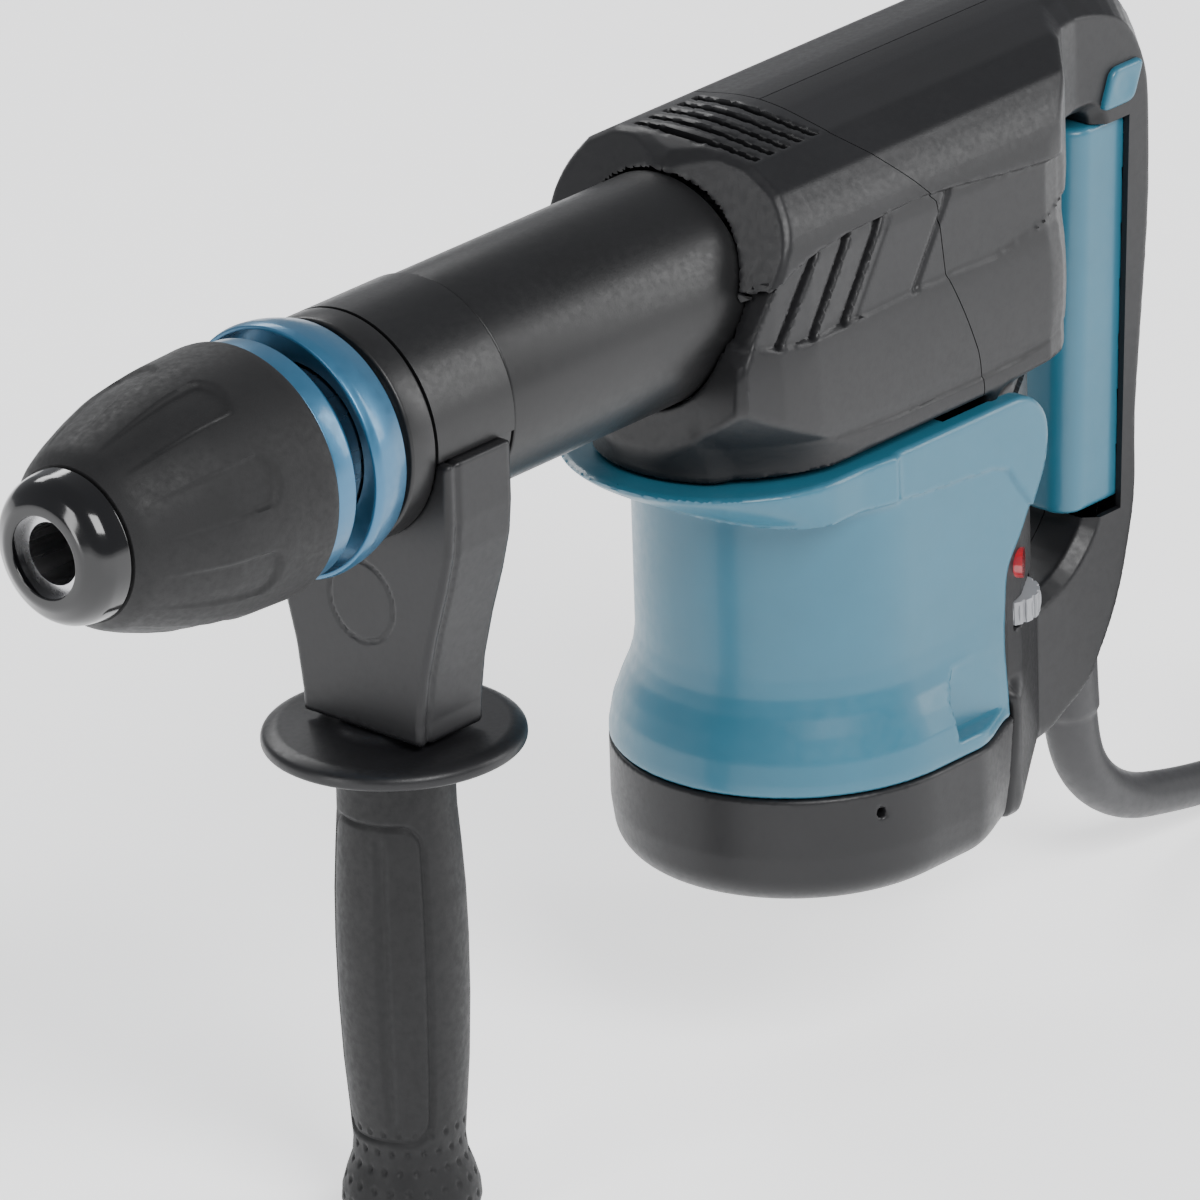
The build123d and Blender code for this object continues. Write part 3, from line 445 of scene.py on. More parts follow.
def outline(points):
    """Distance in a plane to a closed outline, negative inside it."""
    ends = np.array([p[:2] for p in points], float)

    def distance(u, v):
        u, v = np.broadcast_arrays(u, v)
        nearest = np.full(u.shape, 1e12)
        inside = np.zeros(u.shape, bool)
        for (x0, y0), (x1, y1) in zip(ends, np.roll(ends, -1, 0)):
            dx, dy = x1 - x0, y1 - y0
            length = dx * dx + dy * dy
            if length < 1e-12:
                continue
            t = np.clip(((u - x0) * dx + (v - y0) * dy) / length, 0, 1)
            nearest = np.minimum(nearest, (u - x0 - t * dx) ** 2 + (v - y0 - t * dy) ** 2)
            if dy:
                inside ^= ((y0 <= v) != (y1 <= v)) & (u < x0 + (v - y0) * dx / dy)
        return np.where(inside, -1, 1) * np.sqrt(nearest)

    return distance


def along_line(u, v, start, end):
    """How far along a line a point is, in mm, and its distance to that line."""
    dx, dy = end[0] - start[0], end[1] - start[1]
    length = math.hypot(dx, dy)
    far = ((u - start[0]) * dx + (v - start[1]) * dy) / length
    return far, ((u - start[0]) * dy - (v - start[1]) * dx) / length


CORNERS = [(i, j, k) for i in (0, 1) for j in (0, 1) for k in (0, 1)]
CELL_EDGES = [
    (a, b) for a in CORNERS for b in CORNERS if a < b and sum(abs(p - q) for p, q in zip(a, b)) == 1
]


def skin_of(field, low, high, cell):
    """Points and four-sided faces of the surface where a field is zero, on a grid of cubes."""
    counts = [int(math.ceil((b - a) / cell)) + 1 for a, b in zip(low, high)]
    axes = [a + cell * np.arange(n) for a, n in zip(low, counts)]
    value = np.broadcast_to(field(*np.meshgrid(*axes, indexing="ij", sparse=True)), counts)
    inside = value < 0
    cells_shape = tuple(n - 1 for n in counts)
    total = np.zeros(cells_shape, np.int8)
    for corner in CORNERS:
        total += inside[tuple(slice(c, c + n) for c, n in zip(corner, cells_shape))]
    cells = np.argwhere((total > 0) & (total < 8))
    number = np.full(cells_shape, -1, np.int64)
    number[tuple(cells.T)] = np.arange(len(cells))
    place = np.zeros((len(cells), 3))
    crossings = np.zeros(len(cells))
    for a, b in CELL_EDGES:
        at_a = value[tuple((cells + a).T)]
        at_b = value[tuple((cells + b).T)]
        crossed = (at_a < 0) != (at_b < 0)
        share = at_a[crossed] / (at_a[crossed] - at_b[crossed])
        place[crossed] += np.array(a) + share[:, None] * (np.array(b) - np.array(a))
        crossings[crossed] += 1
    points = np.array(low) + cell * (cells + place / crossings[:, None])
    faces = []
    for a in range(3):
        b, c = (a + 1) % 3, (a + 2) % 3
        first, second = [slice(1, -1)] * 3, [slice(1, -1)] * 3
        first[a], second[a] = slice(0, -1), slice(1, None)
        here = inside[tuple(first)]
        found = np.argwhere(here != inside[tuple(second)])
        if not len(found):
            continue
        out = here[tuple(found.T)]
        found[:, [b, c]] += 1
        ring = []
        for back_b, back_c in ((0, 0), (1, 0), (1, 1), (0, 1)):
            other = found.copy()
            other[:, b] -= back_b
            other[:, c] -= back_c
            ring.append(number[tuple(other.T)])
        quads = np.stack(ring, 1)
        quads[~out] = quads[~out][:, ::-1]
        faces.append(quads)
    return pull_on(field, points, cell), np.concatenate(faces)


def pull_on(field, points, cell):
    """Moves points on to the surface of a field, by its slope."""
    reach = 0.04
    for _ in range(3):
        x, y, z = points.T
        here = field(x, y, z)
        slope = np.stack([
            field(x + reach, y, z) - here,
            field(x, y + reach, z) - here,
            field(x, y, z + reach) - here,
        ], 1) / reach
        steep = np.maximum((slope ** 2).sum(1), 0.2)
        move = -slope * (here / steep)[:, None]
        size = np.linalg.norm(move, axis=1)
        limit = np.minimum(1, 0.5 * cell / np.maximum(size, 1e-9))
        points = points + move * limit[:, None]
    return points


def moulded(name, field, low, high, cell):
    """A closed piece from its field."""
    points, faces = skin_of(field, low, high, cell)
    made = piece_from(name, points, faces)
    for polygon in made.data.polygons:
        polygon.use_smooth = True
    return made


def trim(piece, place, outwards):
    """Cuts a piece at a plane, in mm, and drops what lies on its outward side."""
    form = bmesh.new()
    form.from_mesh(piece.data)
    bmesh.ops.bisect_plane(
        form, geom=form.verts[:] + form.edges[:] + form.faces[:],
        plane_co=in_frame(place), plane_no=outwards, clear_outer=True,
    )
    form.to_mesh(piece.data)
    form.free()


def trim_along(piece, line, keep_front):
    """Cuts a piece along a polyline of (x, z) points in mm, and keeps its front or its rear side."""
    form = bmesh.new()
    form.from_mesh(piece.data)
    shift = Vector((MOTOR_X, 0, STRIKE_Z))
    for start, end in zip(line, line[1:]):
        start, end = np.array(start, float), np.array(end, float)
        length = np.hypot(*(end - start))
        near = []
        for face in form.faces:
            middle = (face.calc_center_median() - shift) / MM
            far, off = along_line(middle.x, middle.z, start, end)
            if -2 < far < length + 2 and abs(off) < 2.5:
                near.append(face)
        parts = set(near)
        for face in near:
            parts.update(face.edges)
            parts.update(face.verts)
        across = Vector((end[1] - start[1], 0, start[0] - end[0])).normalized()
        bmesh.ops.bisect_plane(
            form, geom=list(parts), plane_co=in_frame((start[0], 0, start[1])), plane_no=across, dist=1e-7
        )
    far_x = -400 if keep_front else 400
    region = outline([(far_x, line[0][1])] + list(line) + [(far_x, line[-1][1])])
    middles = np.array([(face.calc_center_median() - shift) / MM for face in form.faces])
    drop = region(middles[:, 0], middles[:, 2]) > 0
    bmesh.ops.delete(form, geom=[face for face, gone in zip(form.faces, drop) if gone], context="FACES")
    form.to_mesh(piece.data)
    form.free()


def thicken(piece, wall):
    """Gives an open skin its wall, inwards."""
    solid = piece.modifiers.new("wall", "SOLIDIFY")
    solid.thickness = wall * MM
    solid.offset = -1
    solid.use_even_offset = False
    settle(piece)
    for polygon in piece.data.polygons:
        polygon.use_smooth = True
    piece.data.set_sharp_from_angle(angle=math.radians(50))


# ---------------------------------------------------------------- repeats by geometry nodes
def socket_id(tree, name):
    return next(item.identifier for item in tree.interface.items_tree if item.name == name)


def repeat_tree(name, inputs, build):
    """A geometry node tree with named number inputs, whose result is real faces with one finish."""
    tree = bpy.data.node_groups.new(name, "GeometryNodeTree")
    tree.interface.new_socket("Geometry", in_out="INPUT", socket_type="NodeSocketGeometry")
    for label, kind in inputs:
        tree.interface.new_socket(label, in_out="INPUT", socket_type=kind)
    tree.interface.new_socket("Geometry", in_out="OUTPUT", socket_type="NodeSocketGeometry")
    start = tree.nodes.new("NodeGroupInput")
    end = tree.nodes.new("NodeGroupOutput")
    placed = build(tree, start)
    real = tree.nodes.new("GeometryNodeRealizeInstances")
    paint = tree.nodes.new("GeometryNodeSetMaterial")
    tree.links.new(placed, real.inputs["Geometry"])
    tree.links.new(real.outputs["Geometry"], paint.inputs["Geometry"])
    tree.links.new(start.outputs["Finish"], paint.inputs["Material"])
    tree.links.new(paint.outputs["Geometry"], end.inputs["Geometry"])
    return tree


def run_tree(name, tree, points, edges, values):
    """Runs a tree on a mesh of points and gives back a plain mesh piece."""
    mesh = bpy.data.meshes.new(name)
    mesh.from_pydata([tuple(p) for p in points], edges, [])
    made = bpy.data.objects.new(name, mesh)
    bpy.context.scene.collection.objects.link(made)
    modifier = made.modifiers.new(name, "NODES")
    modifier.node_group = tree
    for label, value in values.items():
        modifier[socket_id(tree, label)] = value
    settle(made)
    tidy_mesh(made, 35)
    return made


def screw_build(tree, start):
    """A tapered head with a six-sided socket, at each point, turned along its outward direction."""
    head = add(tree, "GeometryNodeMeshCone", Vertices=28, Side_Segments=1)
    tree.links.new(start.outputs["Head radius"], head.inputs["Radius Bottom"])
    scale_top = add(tree, "ShaderNodeMath", operation="MULTIPLY")
    scale_top.inputs[1].default_value = 0.78
    tree.links.new(start.outputs["Head radius"], scale_top.inputs[0])
    tree.links.new(scale_top.outputs[0], head.inputs["Radius Top"])
    tree.links.new(start.outputs["Head height"], head.inputs["Depth"])
    recess = add(tree, "GeometryNodeMeshCylinder", Vertices=6)
    scale_in = add(tree, "ShaderNodeMath", operation="MULTIPLY")
    scale_in.inputs[1].default_value = 0.42
    tree.links.new(start.outputs["Head radius"], scale_in.inputs[0])
    tree.links.new(scale_in.outputs[0], recess.inputs["Radius"])
    tree.links.new(start.outputs["Head height"], recess.inputs["Depth"])
    raise_up = add(tree, "GeometryNodeTransform")
    combine = add(tree, "ShaderNodeCombineXYZ")
    tree.links.new(start.outputs["Head height"], combine.inputs["Z"])
    tree.links.new(combine.outputs[0], raise_up.inputs["Translation"])
    tree.links.new(recess.outputs["Mesh"], raise_up.inputs["Geometry"])
    cut = add(tree, "GeometryNodeMeshBoolean", operation="DIFFERENCE")
    tree.links.new(head.outputs["Mesh"], cut.inputs["Mesh 1"])
    tree.links.new(raise_up.outputs["Geometry"], cut.inputs["Mesh 2"])
    on_points = add(tree, "GeometryNodeInstanceOnPoints")
    turn = add(tree, "FunctionNodeAlignRotationToVector", axis="Z")
    direction = add(tree, "GeometryNodeInputNamedAttribute", data_type="FLOAT_VECTOR", Name="outwards")
    tree.links.new(direction.outputs["Attribute"], turn.inputs["Vector"])
    tree.links.new(turn.outputs["Rotation"], on_points.inputs["Rotation"])
    tree.links.new(start.outputs["Geometry"], on_points.inputs["Points"])
    tree.links.new(cut.outputs["Mesh"], on_points.inputs["Instance"])
    return on_points.outputs["Instances"]


def rib_build(tree, start):
    """A rounded bar at each point of a ring, standing along Z, for knurls and grip ribs."""
    ring = add(tree, "GeometryNodeMeshCircle")
    tree.links.new(start.outputs["Count"], ring.inputs["Vertices"])
    tree.links.new(start.outputs["Ring radius"], ring.inputs["Radius"])
    bar = add(tree, "GeometryNodeMeshUVSphere", Segments=10, Rings=8)
    tree.links.new(start.outputs["Rib radius"], bar.inputs["Radius"])
    tall = add(tree, "ShaderNodeCombineXYZ", X=1.0, Y=1.0)
    tree.links.new(start.outputs["Rib stretch"], tall.inputs["Z"])
    on_points = add(tree, "GeometryNodeInstanceOnPoints")
    tree.links.new(ring.outputs["Mesh"], on_points.inputs["Points"])
    tree.links.new(bar.outputs["Mesh"], on_points.inputs["Instance"])
    tree.links.new(tall.outputs[0], on_points.inputs["Scale"])
    move = add(tree, "GeometryNodeTransform")
    tree.links.new(on_points.outputs["Instances"], move.inputs["Geometry"])
    tree.links.new(start.outputs["Centre"], move.inputs["Translation"])
    tree.links.new(start.outputs["Turn"], move.inputs["Rotation"])
    return move.outputs["Geometry"]


SCREW_INPUTS = [
    ("Head radius", "NodeSocketFloat"), ("Head height", "NodeSocketFloat"), ("Finish", "NodeSocketMaterial"),
]
RIB_INPUTS = [
    ("Count", "NodeSocketInt"), ("Ring radius", "NodeSocketFloat"), ("Rib radius", "NodeSocketFloat"),
    ("Rib stretch", "NodeSocketFloat"), ("Centre", "NodeSocketVector"), ("Turn", "NodeSocketVector"),
    ("Finish", "NodeSocketMaterial"),
]


def screws(name, places, radius, height, slot_name):
    """Screw heads at (point in mm, outward direction) places."""
    tree = repeat_tree(name + "_tree", SCREW_INPUTS, screw_build)
    mesh = bpy.data.meshes.new(name)
    mesh.from_pydata(in_frame([p for p, _ in places]).tolist(), [], [])
    layer = mesh.attributes.new("outwards", "FLOAT_VECTOR", "POINT")
    layer.data.foreach_set("vector", np.array([d for _, d in places], np.float32).ravel())
    made = bpy.data.objects.new(name, mesh)
    bpy.context.scene.collection.objects.link(made)
    modifier = made.modifiers.new(name, "NODES")
    modifier.node_group = tree
    modifier[socket_id(tree, "Head radius")] = radius * MM
    modifier[socket_id(tree, "Head height")] = height * MM
    modifier[socket_id(tree, "Finish")] = FINISHES[slot_name]
    settle(made)
    tidy_mesh(made, 30)
    return made


# ---------------------------------------------------------------- stage
CAMERA_AIM = Vector((-0.21033, 0.0, -0.02693))
CAMERA_DISTANCE = 4.2312
CAMERA_AZIMUTH = math.radians(-47.21)
CAMERA_ELEVATION = math.radians(23.16)
CAMERA_ROLL = math.radians(-1.9)
CAMERA_LENS = 450.0


def add_light(name, place, aim, size, power):
    data = bpy.data.lights.new(name, "AREA")
    data.shape = "RECTANGLE"
    data.size, data.size_y = size
    data.energy = power
    lamp = bpy.data.objects.new(name, data)
    lamp.location = place
    lamp.rotation_euler = (Vector(aim) - Vector(place)).to_track_quat("-Z", "Y").to_euler()
    bpy.context.scene.collection.objects.link(lamp)


class HAMMER_OT_stage(bpy.types.Operator):
    """Camera, pale floor and soft studio light"""

    bl_idname = "hammer.stage"
    bl_label = "Stage"

    def execute(self, context):
        a, e, r = CAMERA_AZIMUTH, CAMERA_ELEVATION, CAMERA_ROLL
        back = Vector((math.sin(a) * math.cos(e), -math.cos(a) * math.cos(e), math.sin(e)))
        right = Vector((math.cos(a), math.sin(a), 0))
        up = back.cross(right)
        level = math.cos(r) * right + math.sin(r) * up
        upward = -math.sin(r) * right + math.cos(r) * up
        data = bpy.data.cameras.new("camera")
        data.lens = CAMERA_LENS
        data.sensor_width = 36
        data.clip_end = 100
        camera = bpy.data.objects.new("camera", data)
        turn = Matrix((level, upward, back)).transposed().to_4x4()
        camera.matrix_world = Matrix.Translation(CAMERA_AIM + back * CAMERA_DISTANCE) @ turn
        context.scene.collection.objects.link(camera)
        context.scene.camera = camera

        mesh = bpy.data.meshes.new("floor")
        half = 12.0
        corners = [(x * half, y * half, FLOOR_Z - 0.0005) for x, y in ((-1, -1), (1, -1), (1, 1), (-1, 1))]
        mesh.from_pydata(corners, [], [(0, 1, 2, 3)])
        floor = bpy.data.objects.new("floor", mesh)
        context.scene.collection.objects.link(floor)
        paper = finish("floor_paper", (0.93, 0.93, 0.935), 0.7, 60, 0.00005, tone=0.01, spread=0.05)
        shader = paper.node_tree.nodes["Principled BSDF"]
        shader.inputs["Emission Color"].default_value = (1, 1, 1, 1)
        shader.inputs["Emission Strength"].default_value = 1.0
        mesh.materials.append(paper)

        world = context.scene.world or bpy.data.worlds.new("studio")
        context.scene.world = world
        world.use_nodes = True
        sky = world.node_tree.nodes["Background"]
        sky.inputs["Color"].default_value = (0.93, 0.95, 1.0, 1)
        sky.inputs["Strength"].default_value = 0.38
        aim = (-0.13, 0, 0)
        add_light("key_light", (-0.9, -2.0, 1.9), aim, (1.3, 1.3), 74)
        add_light("side_light", (1.6, -1.6, 0.9), aim, (0.6, 1.6), 26)
        add_light("front_light", (-2.6, 0.3, 0.6), aim, (0.5, 1.5), 22)
        add_light("back_light", (0.6, 2.2, 1.6), aim, (1.6, 0.6), 26)
        return {"FINISHED"}


# ---------------------------------------------------------------- cord
# Centre lines in mm: the lead runs from the guard's tip to the coil's first turn, the tail from its last
# turn over the coil to the plug, and the guard's own line from inside the handle to its tip.
CORD_LIE = FLOOR + 4.5
CORD_LEAD = [
    (197, 1, -237.5), (216, 5, -240.5), (236, 17, CORD_LIE), (258, 36, CORD_LIE), (278, 40.5, CORD_LIE),
]
CORD_TAIL = [
    (321, 24, -211.5), (342, 5.5, -206.5), (355, -25, -203.8), (356, -61, -202), (344, -81.8, -199.5),
    (323.2, -93.8, -196.5), (299, -94, -195.5),
]
GUARD_LINE = [(119, 0, -172), (119.6, 0, -194), (125.6, 0, -212.6), (142.7, 0, -226.5), (166, 0, -232),
              (184, 0, -235), (197, 1, -237.5)]
COIL_CENTRE = (296.0, -34.0)
# Level, first radius, last radius and turns of each layer; the first half turn climbs at one radius.
COIL_LAYERS = [(0, 74.0, 46.1, 3.5), (1, 46.1, 74.0, 3.5), (2, 74.0, 46.1, 3.5), (3, 46.1, 64.7, 2.5)]
CLIMB_TURNS = 0.5
LAYER_RISE = 9.15
TURN_POINTS = 16
GUARD_RINGS = 120


def coil_points():
    """Turns of the coil, layer on layer, wound clockwise from above; each layer is a flat spiral."""
    points = []
    turned = 0.0
    total = sum(layer[3] for layer in COIL_LAYERS)
    for level, start, end, turns in COIL_LAYERS:
        steps = int(round(turns * TURN_POINTS))
        for i in range(steps):
            share = i / steps
            wound = max(0.0, share * turns - CLIMB_TURNS) / (turns - CLIMB_TURNS)
            radius = start + (end - start) * wound
            climb = smooth(share * turns / CLIMB_TURNS) if level else 1.0
            height = CORD_LIE + LAYER_RISE * (level - 1 + climb)
            angle = math.pi / 2 - 2 * math.pi * (turned + share * turns)
            points.append((
                COIL_CENTRE[0] + radius * math.cos(angle),
                COIL_CENTRE[1] + radius * math.sin(angle),
                float(height),
            ))
        turned += turns
    angle = math.pi / 2 - 2 * math.pi * total
    radius = COIL_LAYERS[-1][2]
    points.append((
        COIL_CENTRE[0] + radius * math.cos(angle),
        COIL_CENTRE[1] + radius * math.sin(angle),
        CORD_LIE + LAYER_RISE * COIL_LAYERS[-1][0],
    ))
    return points


def spline_of(name, points, radius):
    """A round cord on one open smooth spline through control points in mm."""
    data = bpy.data.curves.new(name, "CURVE")
    data.dimensions = "3D"
    data.bevel_depth = radius * MM
    data.bevel_resolution = 5
    data.resolution_u = 4
    data.use_fill_caps = True
    line = data.splines.new("NURBS")
    line.points.add(len(points) - 1)
    for knot, place in zip(line.points, in_frame(points)):
        knot.co = (*place, 1)
    line.order_u = 3
    line.use_endpoint_u = True
    made = bpy.data.objects.new(name, data)
    bpy.context.scene.collection.objects.link(made)
    return made


def line_of(points, samples):
    """Points in metres, evenly spaced on the smooth spline of a route."""
    line = spline_of("guide", points, 0)
    line.data.resolution_u = 24
    line.data.use_fill_caps = False
    bpy.context.view_layer.update()
    seen = bpy.context.evaluated_depsgraph_get()
    mesh = bpy.data.meshes.new_from_object(line.evaluated_get(seen), depsgraph=seen)
    path = np.array([v.co for v in mesh.vertices])
    bpy.data.objects.remove(line)
    lengths = np.concatenate([[0], np.cumsum(np.linalg.norm(np.diff(path, axis=0), axis=1))])
    wanted = np.linspace(0, lengths[-1], samples)
    even = np.stack([np.interp(wanted, lengths, path[:, i]) for i in range(3)], 1)
    return even


def tube_along(name, path, radii, segments=40):
    """A closed tube along points in metres, with its own radius at each of them in mm."""
    ahead = np.gradient(path, axis=0)
    ahead /= np.linalg.norm(ahead, axis=1)[:, None]
    side = np.cross(ahead, (0.0, 1.0, 0.0))
    side /= np.linalg.norm(side, axis=1)[:, None]
    over = np.cross(ahead, side)
    turns = np.linspace(0, 2 * math.pi, segments, endpoint=False)
    rings = path[:, None] + MM * np.asarray(radii)[:, None, None] * (
        np.cos(turns)[None, :, None] * side[:, None] + np.sin(turns)[None, :, None] * over[:, None]
    )
    points = list(rings.reshape(-1, 3)) + [path[0], path[-1]]
    count = len(path)
    faces = []
    for i in range(count - 1):
        for k in range(segments):
            n = (k + 1) % segments
            faces.append((i * segments + k, i * segments + n, (i + 1) * segments + n, (i + 1) * segments + k))
    for k in range(segments):
        n = (k + 1) % segments
        faces.append((count * segments, n, k))
        faces.append((count * segments + 1, (count - 1) * segments + k, (count - 1) * segments + n))
    made = piece_from(name, (np.array(points) - in_frame((0, 0, 0))) / MM, faces)
    tidy_mesh(made, 50)
    return made


def plug_field(x, y, z):
    """Moulded plug body with a waist, a flat grip on each side and a round neck."""
    low, high = span("plug")
    face, rear = low.x + 19.0, high.x - 8.0
    centre_y, centre_z = (low.y + high.y) / 2, (low.z + high.z) / 2
    along = (x - face) / (rear - face)
    half_y = 18.0 - 3.2 * smooth((along - 0.25) / 0.4) + 0.8 * smooth((along - 0.75) / 0.25)
    half_z = 12.9 - 1.3 * smooth((along - 0.2) / 0.5)
    corner = 9.0
    a = np.abs(y - centre_y) - half_y
    b = np.abs(z - centre_z) - half_z
    section = both(a, b, corner)
    body = both(section, np.abs(x - (face + rear) / 2) - (rear - face) / 2, 3.0)
    ribs = 0.8 * window(np.mod(x - face, 4.4), 1.4, 3.0, 0.7) * window(x, face + 9, face + 24, 0.5)
    body = body + ribs * window(np.abs(z - centre_z), 0, 6.5, 2.0)
    radius = np.hypot(y - centre_y, z - centre_z)
    neck = both(radius - 7.0, np.abs(x - (rear + 2.0)) - 6.0, 1.0)
    return either(body, neck, 3.0)


def tie_field(x, y, z):
    """Hook-and-loop strap round the coil's section."""
    low, high = span("cord_tie")
    middle_x, middle_z = (low.x + high.x) / 2, (low.z + high.z) / 2
    a = np.abs(x - middle_x) - (high.x - low.x) / 2
    b = np.abs(z - middle_z) - (high.z - low.z) / 2
    section = both(a, b, 9.0)
    strap = np.abs(section + 0.7) - 0.6
    edge = np.abs(y - (low.y + high.y) / 2) - (high.y - low.y) / 2
    return both(strap, edge, 0.3)


class HAMMER_OT_cord(bpy.types.Operator):
    """Mains cord with its coil, guard, tie and plug"""

    bl_idname = "hammer.cord"
    bl_label = "Cord"

    def execute(self, context):
        sizes = context.scene.hammer_cord
        radius = sizes.diameter / 2 / MM
        path = line_of(GUARD_LINE, GUARD_RINGS)
        share = np.linspace(0, 1, len(path))
        taper = 8.3 - 1.9 * smooth(share * 1.15) - 1.6 * smooth((share - 0.985) / 0.015)
        taper += 0.9 * smooth((0.16 - share) / 0.02)
        guard = fit(tube_along("cord_guard_sleeve", path, taper), "housing", "cord_rubber", "cord_guard")
        plug = moulded("plug_body", plug_field, *plug_box(), 0.8)
        fit(plug, "housing", "cord_rubber", "plug")
        pins = plug_pins()
        tie = moulded("cord_tie_strap", tie_field, *grown("cord_tie", 2.0), 0.6)
        fit(tie, "housing", "grey_plastic", "cord_tie")
        points = CORD_LEAD + coil_points() + CORD_TAIL
        cord = spline_of("mains_cord", points, radius)
        fit(cord, "housing", "cord_rubber", "cord_lead", "cord_coil", "cord_tail")
        return {"FINISHED"}


def grown(node, room):
    """Corners of a node's box with some room round it, in mm."""
    low, high = span(node)
    return tuple(v - room for v in low), tuple(v + room for v in high)


def plug_box():
    low, high = grown("plug", 2.0)
    return (low[0] + 14.0, low[1], low[2]), high


def plug_pins():
    """Two round pins with rounded tips, thicker at their outer half."""
    low, high = span("plug")
    centre_y, centre_z = (low.y + high.y) / 2, (low.z + high.z) / 2
    shapes = []
    for side in (-1, 1):
        profile = round_off([(low.x, 0, 0), (low.x, 2.4, 1.5), (low.x + 10, 2.4, 0), (low.x + 10, 1.9, 0),
                             (low.x + 20, 1.9, 0), (low.x + 20, 0, 0)], 0.3)
        pin = lathe(f"pin_{side}", profile, segments=32)
        pin.data.transform(Matrix.Translation((0, (centre_y + side * 9.3) * MM, centre_z * MM)))
        shapes.append(pin)
    return joined("plug_pins", shapes, "housing", "steel")


def joined(name, shapes, body, slot_name, *nodes):
    """One piece of several shapes."""
    form = bmesh.new()
    for shape in shapes:
        form.from_mesh(shape.data)
        bpy.data.objects.remove(shape)
    mesh = bpy.data.meshes.new(name)
    form.to_mesh(mesh)
    form.free()
    made = bpy.data.objects.new(name, mesh)
    bpy.context.scene.collection.objects.link(made)
    return fit(made, body, slot_name, *nodes)


# ---------------------------------------------------------------- housing
BODY_HALF = 45.5
HANDLE_HALF = 17.5
CROWN_Z = 42.6
BLUE_TOP = -54.0
BLUE_BOTTOM = -153.3
BASE_Z = -188.0
BARREL_R = 32.7
DIAL_X, DIAL_Y, DIAL_Z = 58.5, -27.0, -127.0
SIDE_VIEW = outline(round_off([
    (-66, -54, 2), (-64, 4, 24), (-51, 36, 10), (-40, CROWN_Z, 7), (112, CROWN_Z, 16), (135, 35.5, 12),
    (147.5, 14, 12), (147.5, -28, 26), (138.6, -98, 24), (138.8, -121, 12), (129.5, -155, 14),
    (113.5, -179, 8), (92, BASE_Z - 1, 6), (38.2, BASE_Z - 1, 2), (44.6, BLUE_BOTTOM, 0.5), (43, -146, 0.5),
    (38, -140, 0.5), (38, -54, 0.5),
], 4))
END_VIEW = outline(round_off([
    (-120, CROWN_Z, 0), (4, CROWN_Z, 30), (25.5, 38.3, 1), (36, 32.2, 1), (42.4, 24, 8), (BODY_HALF, 12, 9),
    (BODY_HALF, -260, 0), (-120, -260, 0),
], 4))
HAND_GAP = outline(round_off([
    (80, 2, 9), (117, 4, 7), (119, -8, 4), (113, -122, 7), (101, -135, 9), (80, -142, 9),
], 6))
UPPER_HALF = [(-80, 38.5), (-62, 42), (-50, 44.2), (-36, BODY_HALF), (64, BODY_HALF),
              (71, 43.6), (80, 37.5), (92, 25.0), (100, 19.3), (108, HANDLE_HALF), (170, HANDLE_HALF)]
MIDDLE_HALF = [(-80, 43), (43, 43), (47, 40), (57, 37), (68, 30), (86, HANDLE_HALF), (170, HANDLE_HALF)]
LOWER_HALF = [(-80, BODY_HALF), (46, BODY_HALF), (68, 30), (86, HANDLE_HALF), (170, HANDLE_HALF)]
CASE_SEAM = [(-10, 60), (-8, 38), (-1.8, 32.2), (9, 21.9), (17.4, 13.4), (20.4, -10), (26.3, -23.3),
             (32, -36.5), (34.6, -45), (36, -60), (36, -260)]
RECESS_TOP = [(-60, 3), (-46, 11.3), (-36.4, 14.3), (-22, 16), (9, 17), (25.7, 15.6), (44.3, 13.3),
              (66, 11), (100, 9)]
RECESS_LOW = [(-70, -4), (-62, -6.6), (-50, -10.5), (-37.8, -11.4), (18, -10.4), (41.8, -11), (60, -8),
              (100, 4)]
SKIRT_TOP = [(-80, -38), (-60, -41), (-30, -43.3), (-3, -45.7), (34, -46.1), (50, -45.5), (68, -43.2),
             (90, -40)]
LOUVRE_LEAN = 0.62
SLOT_FLOOR = 34.0
OPENING_TOP, OPENING_BOTTOM = -1.7, -122.6


def bevel(a, b, width):
    """Where both forms are, with a flat bevel between them."""
    return np.maximum(np.maximum(a, b), (a + b + width) * 0.70711)


def side_depth(x, z):
    """How deep the side of the housing lies below its full width: louvres, recess and skirt."""
    sizes = bpy.context.scene.hammer_housing
    top = curve_through(x, RECESS_TOP)
    low = curve_through(x, RECESS_LOW)
    in_recess = smooth((top - z) / 1.3 + 0.5) * smooth((z - low) / 1.3 + 0.5) * smooth((78 - x) / 8)
    depth = 2.0 * in_recess
    lean = x - LOUVRE_LEAN * z
    step = (lean + 56.0) / sizes.louvre_pitch
    in_louvres = smooth((lean + 57) / 0.8) * smooth((-11.0 - lean) / 0.8) * in_recess
    share = np.mod(step, 1.0)
    slit = smooth((0.11 - np.minimum(share, 1 - share)) / 0.09)
    depth = depth + (0.9 * share + 2.6 * slit) * in_louvres
    depth = depth + 0.8 * smooth(1.5 - np.abs(lean - 13.2)) * in_recess
    below = smooth((curve_through(x, SKIRT_TOP) - z) / 0.8 + 0.5) * smooth((92 - x) / 10)
    depth = depth + 1.2 * below
    crown = np.clip((z + 27) / 18, -1, 1) ** 2 * (1 - in_recess) * (1 - below) * (z < low)
    depth = depth + 1.8 * crown * smooth((84 - x) / 12)
    return depth


def top_slots(x, y):
    """Five bowed slots across the top of the housing, deep where a slot is."""
    bowed = x - 0.006 * y * y
    slot = np.abs(np.mod(bowed + 43.0, 6.1) - 3.05)
    band = np.maximum(np.abs(bowed + 27.7) - 15.2, np.abs(y + 2.0) - 22.5)
    return np.maximum(slot - 1.35, band)


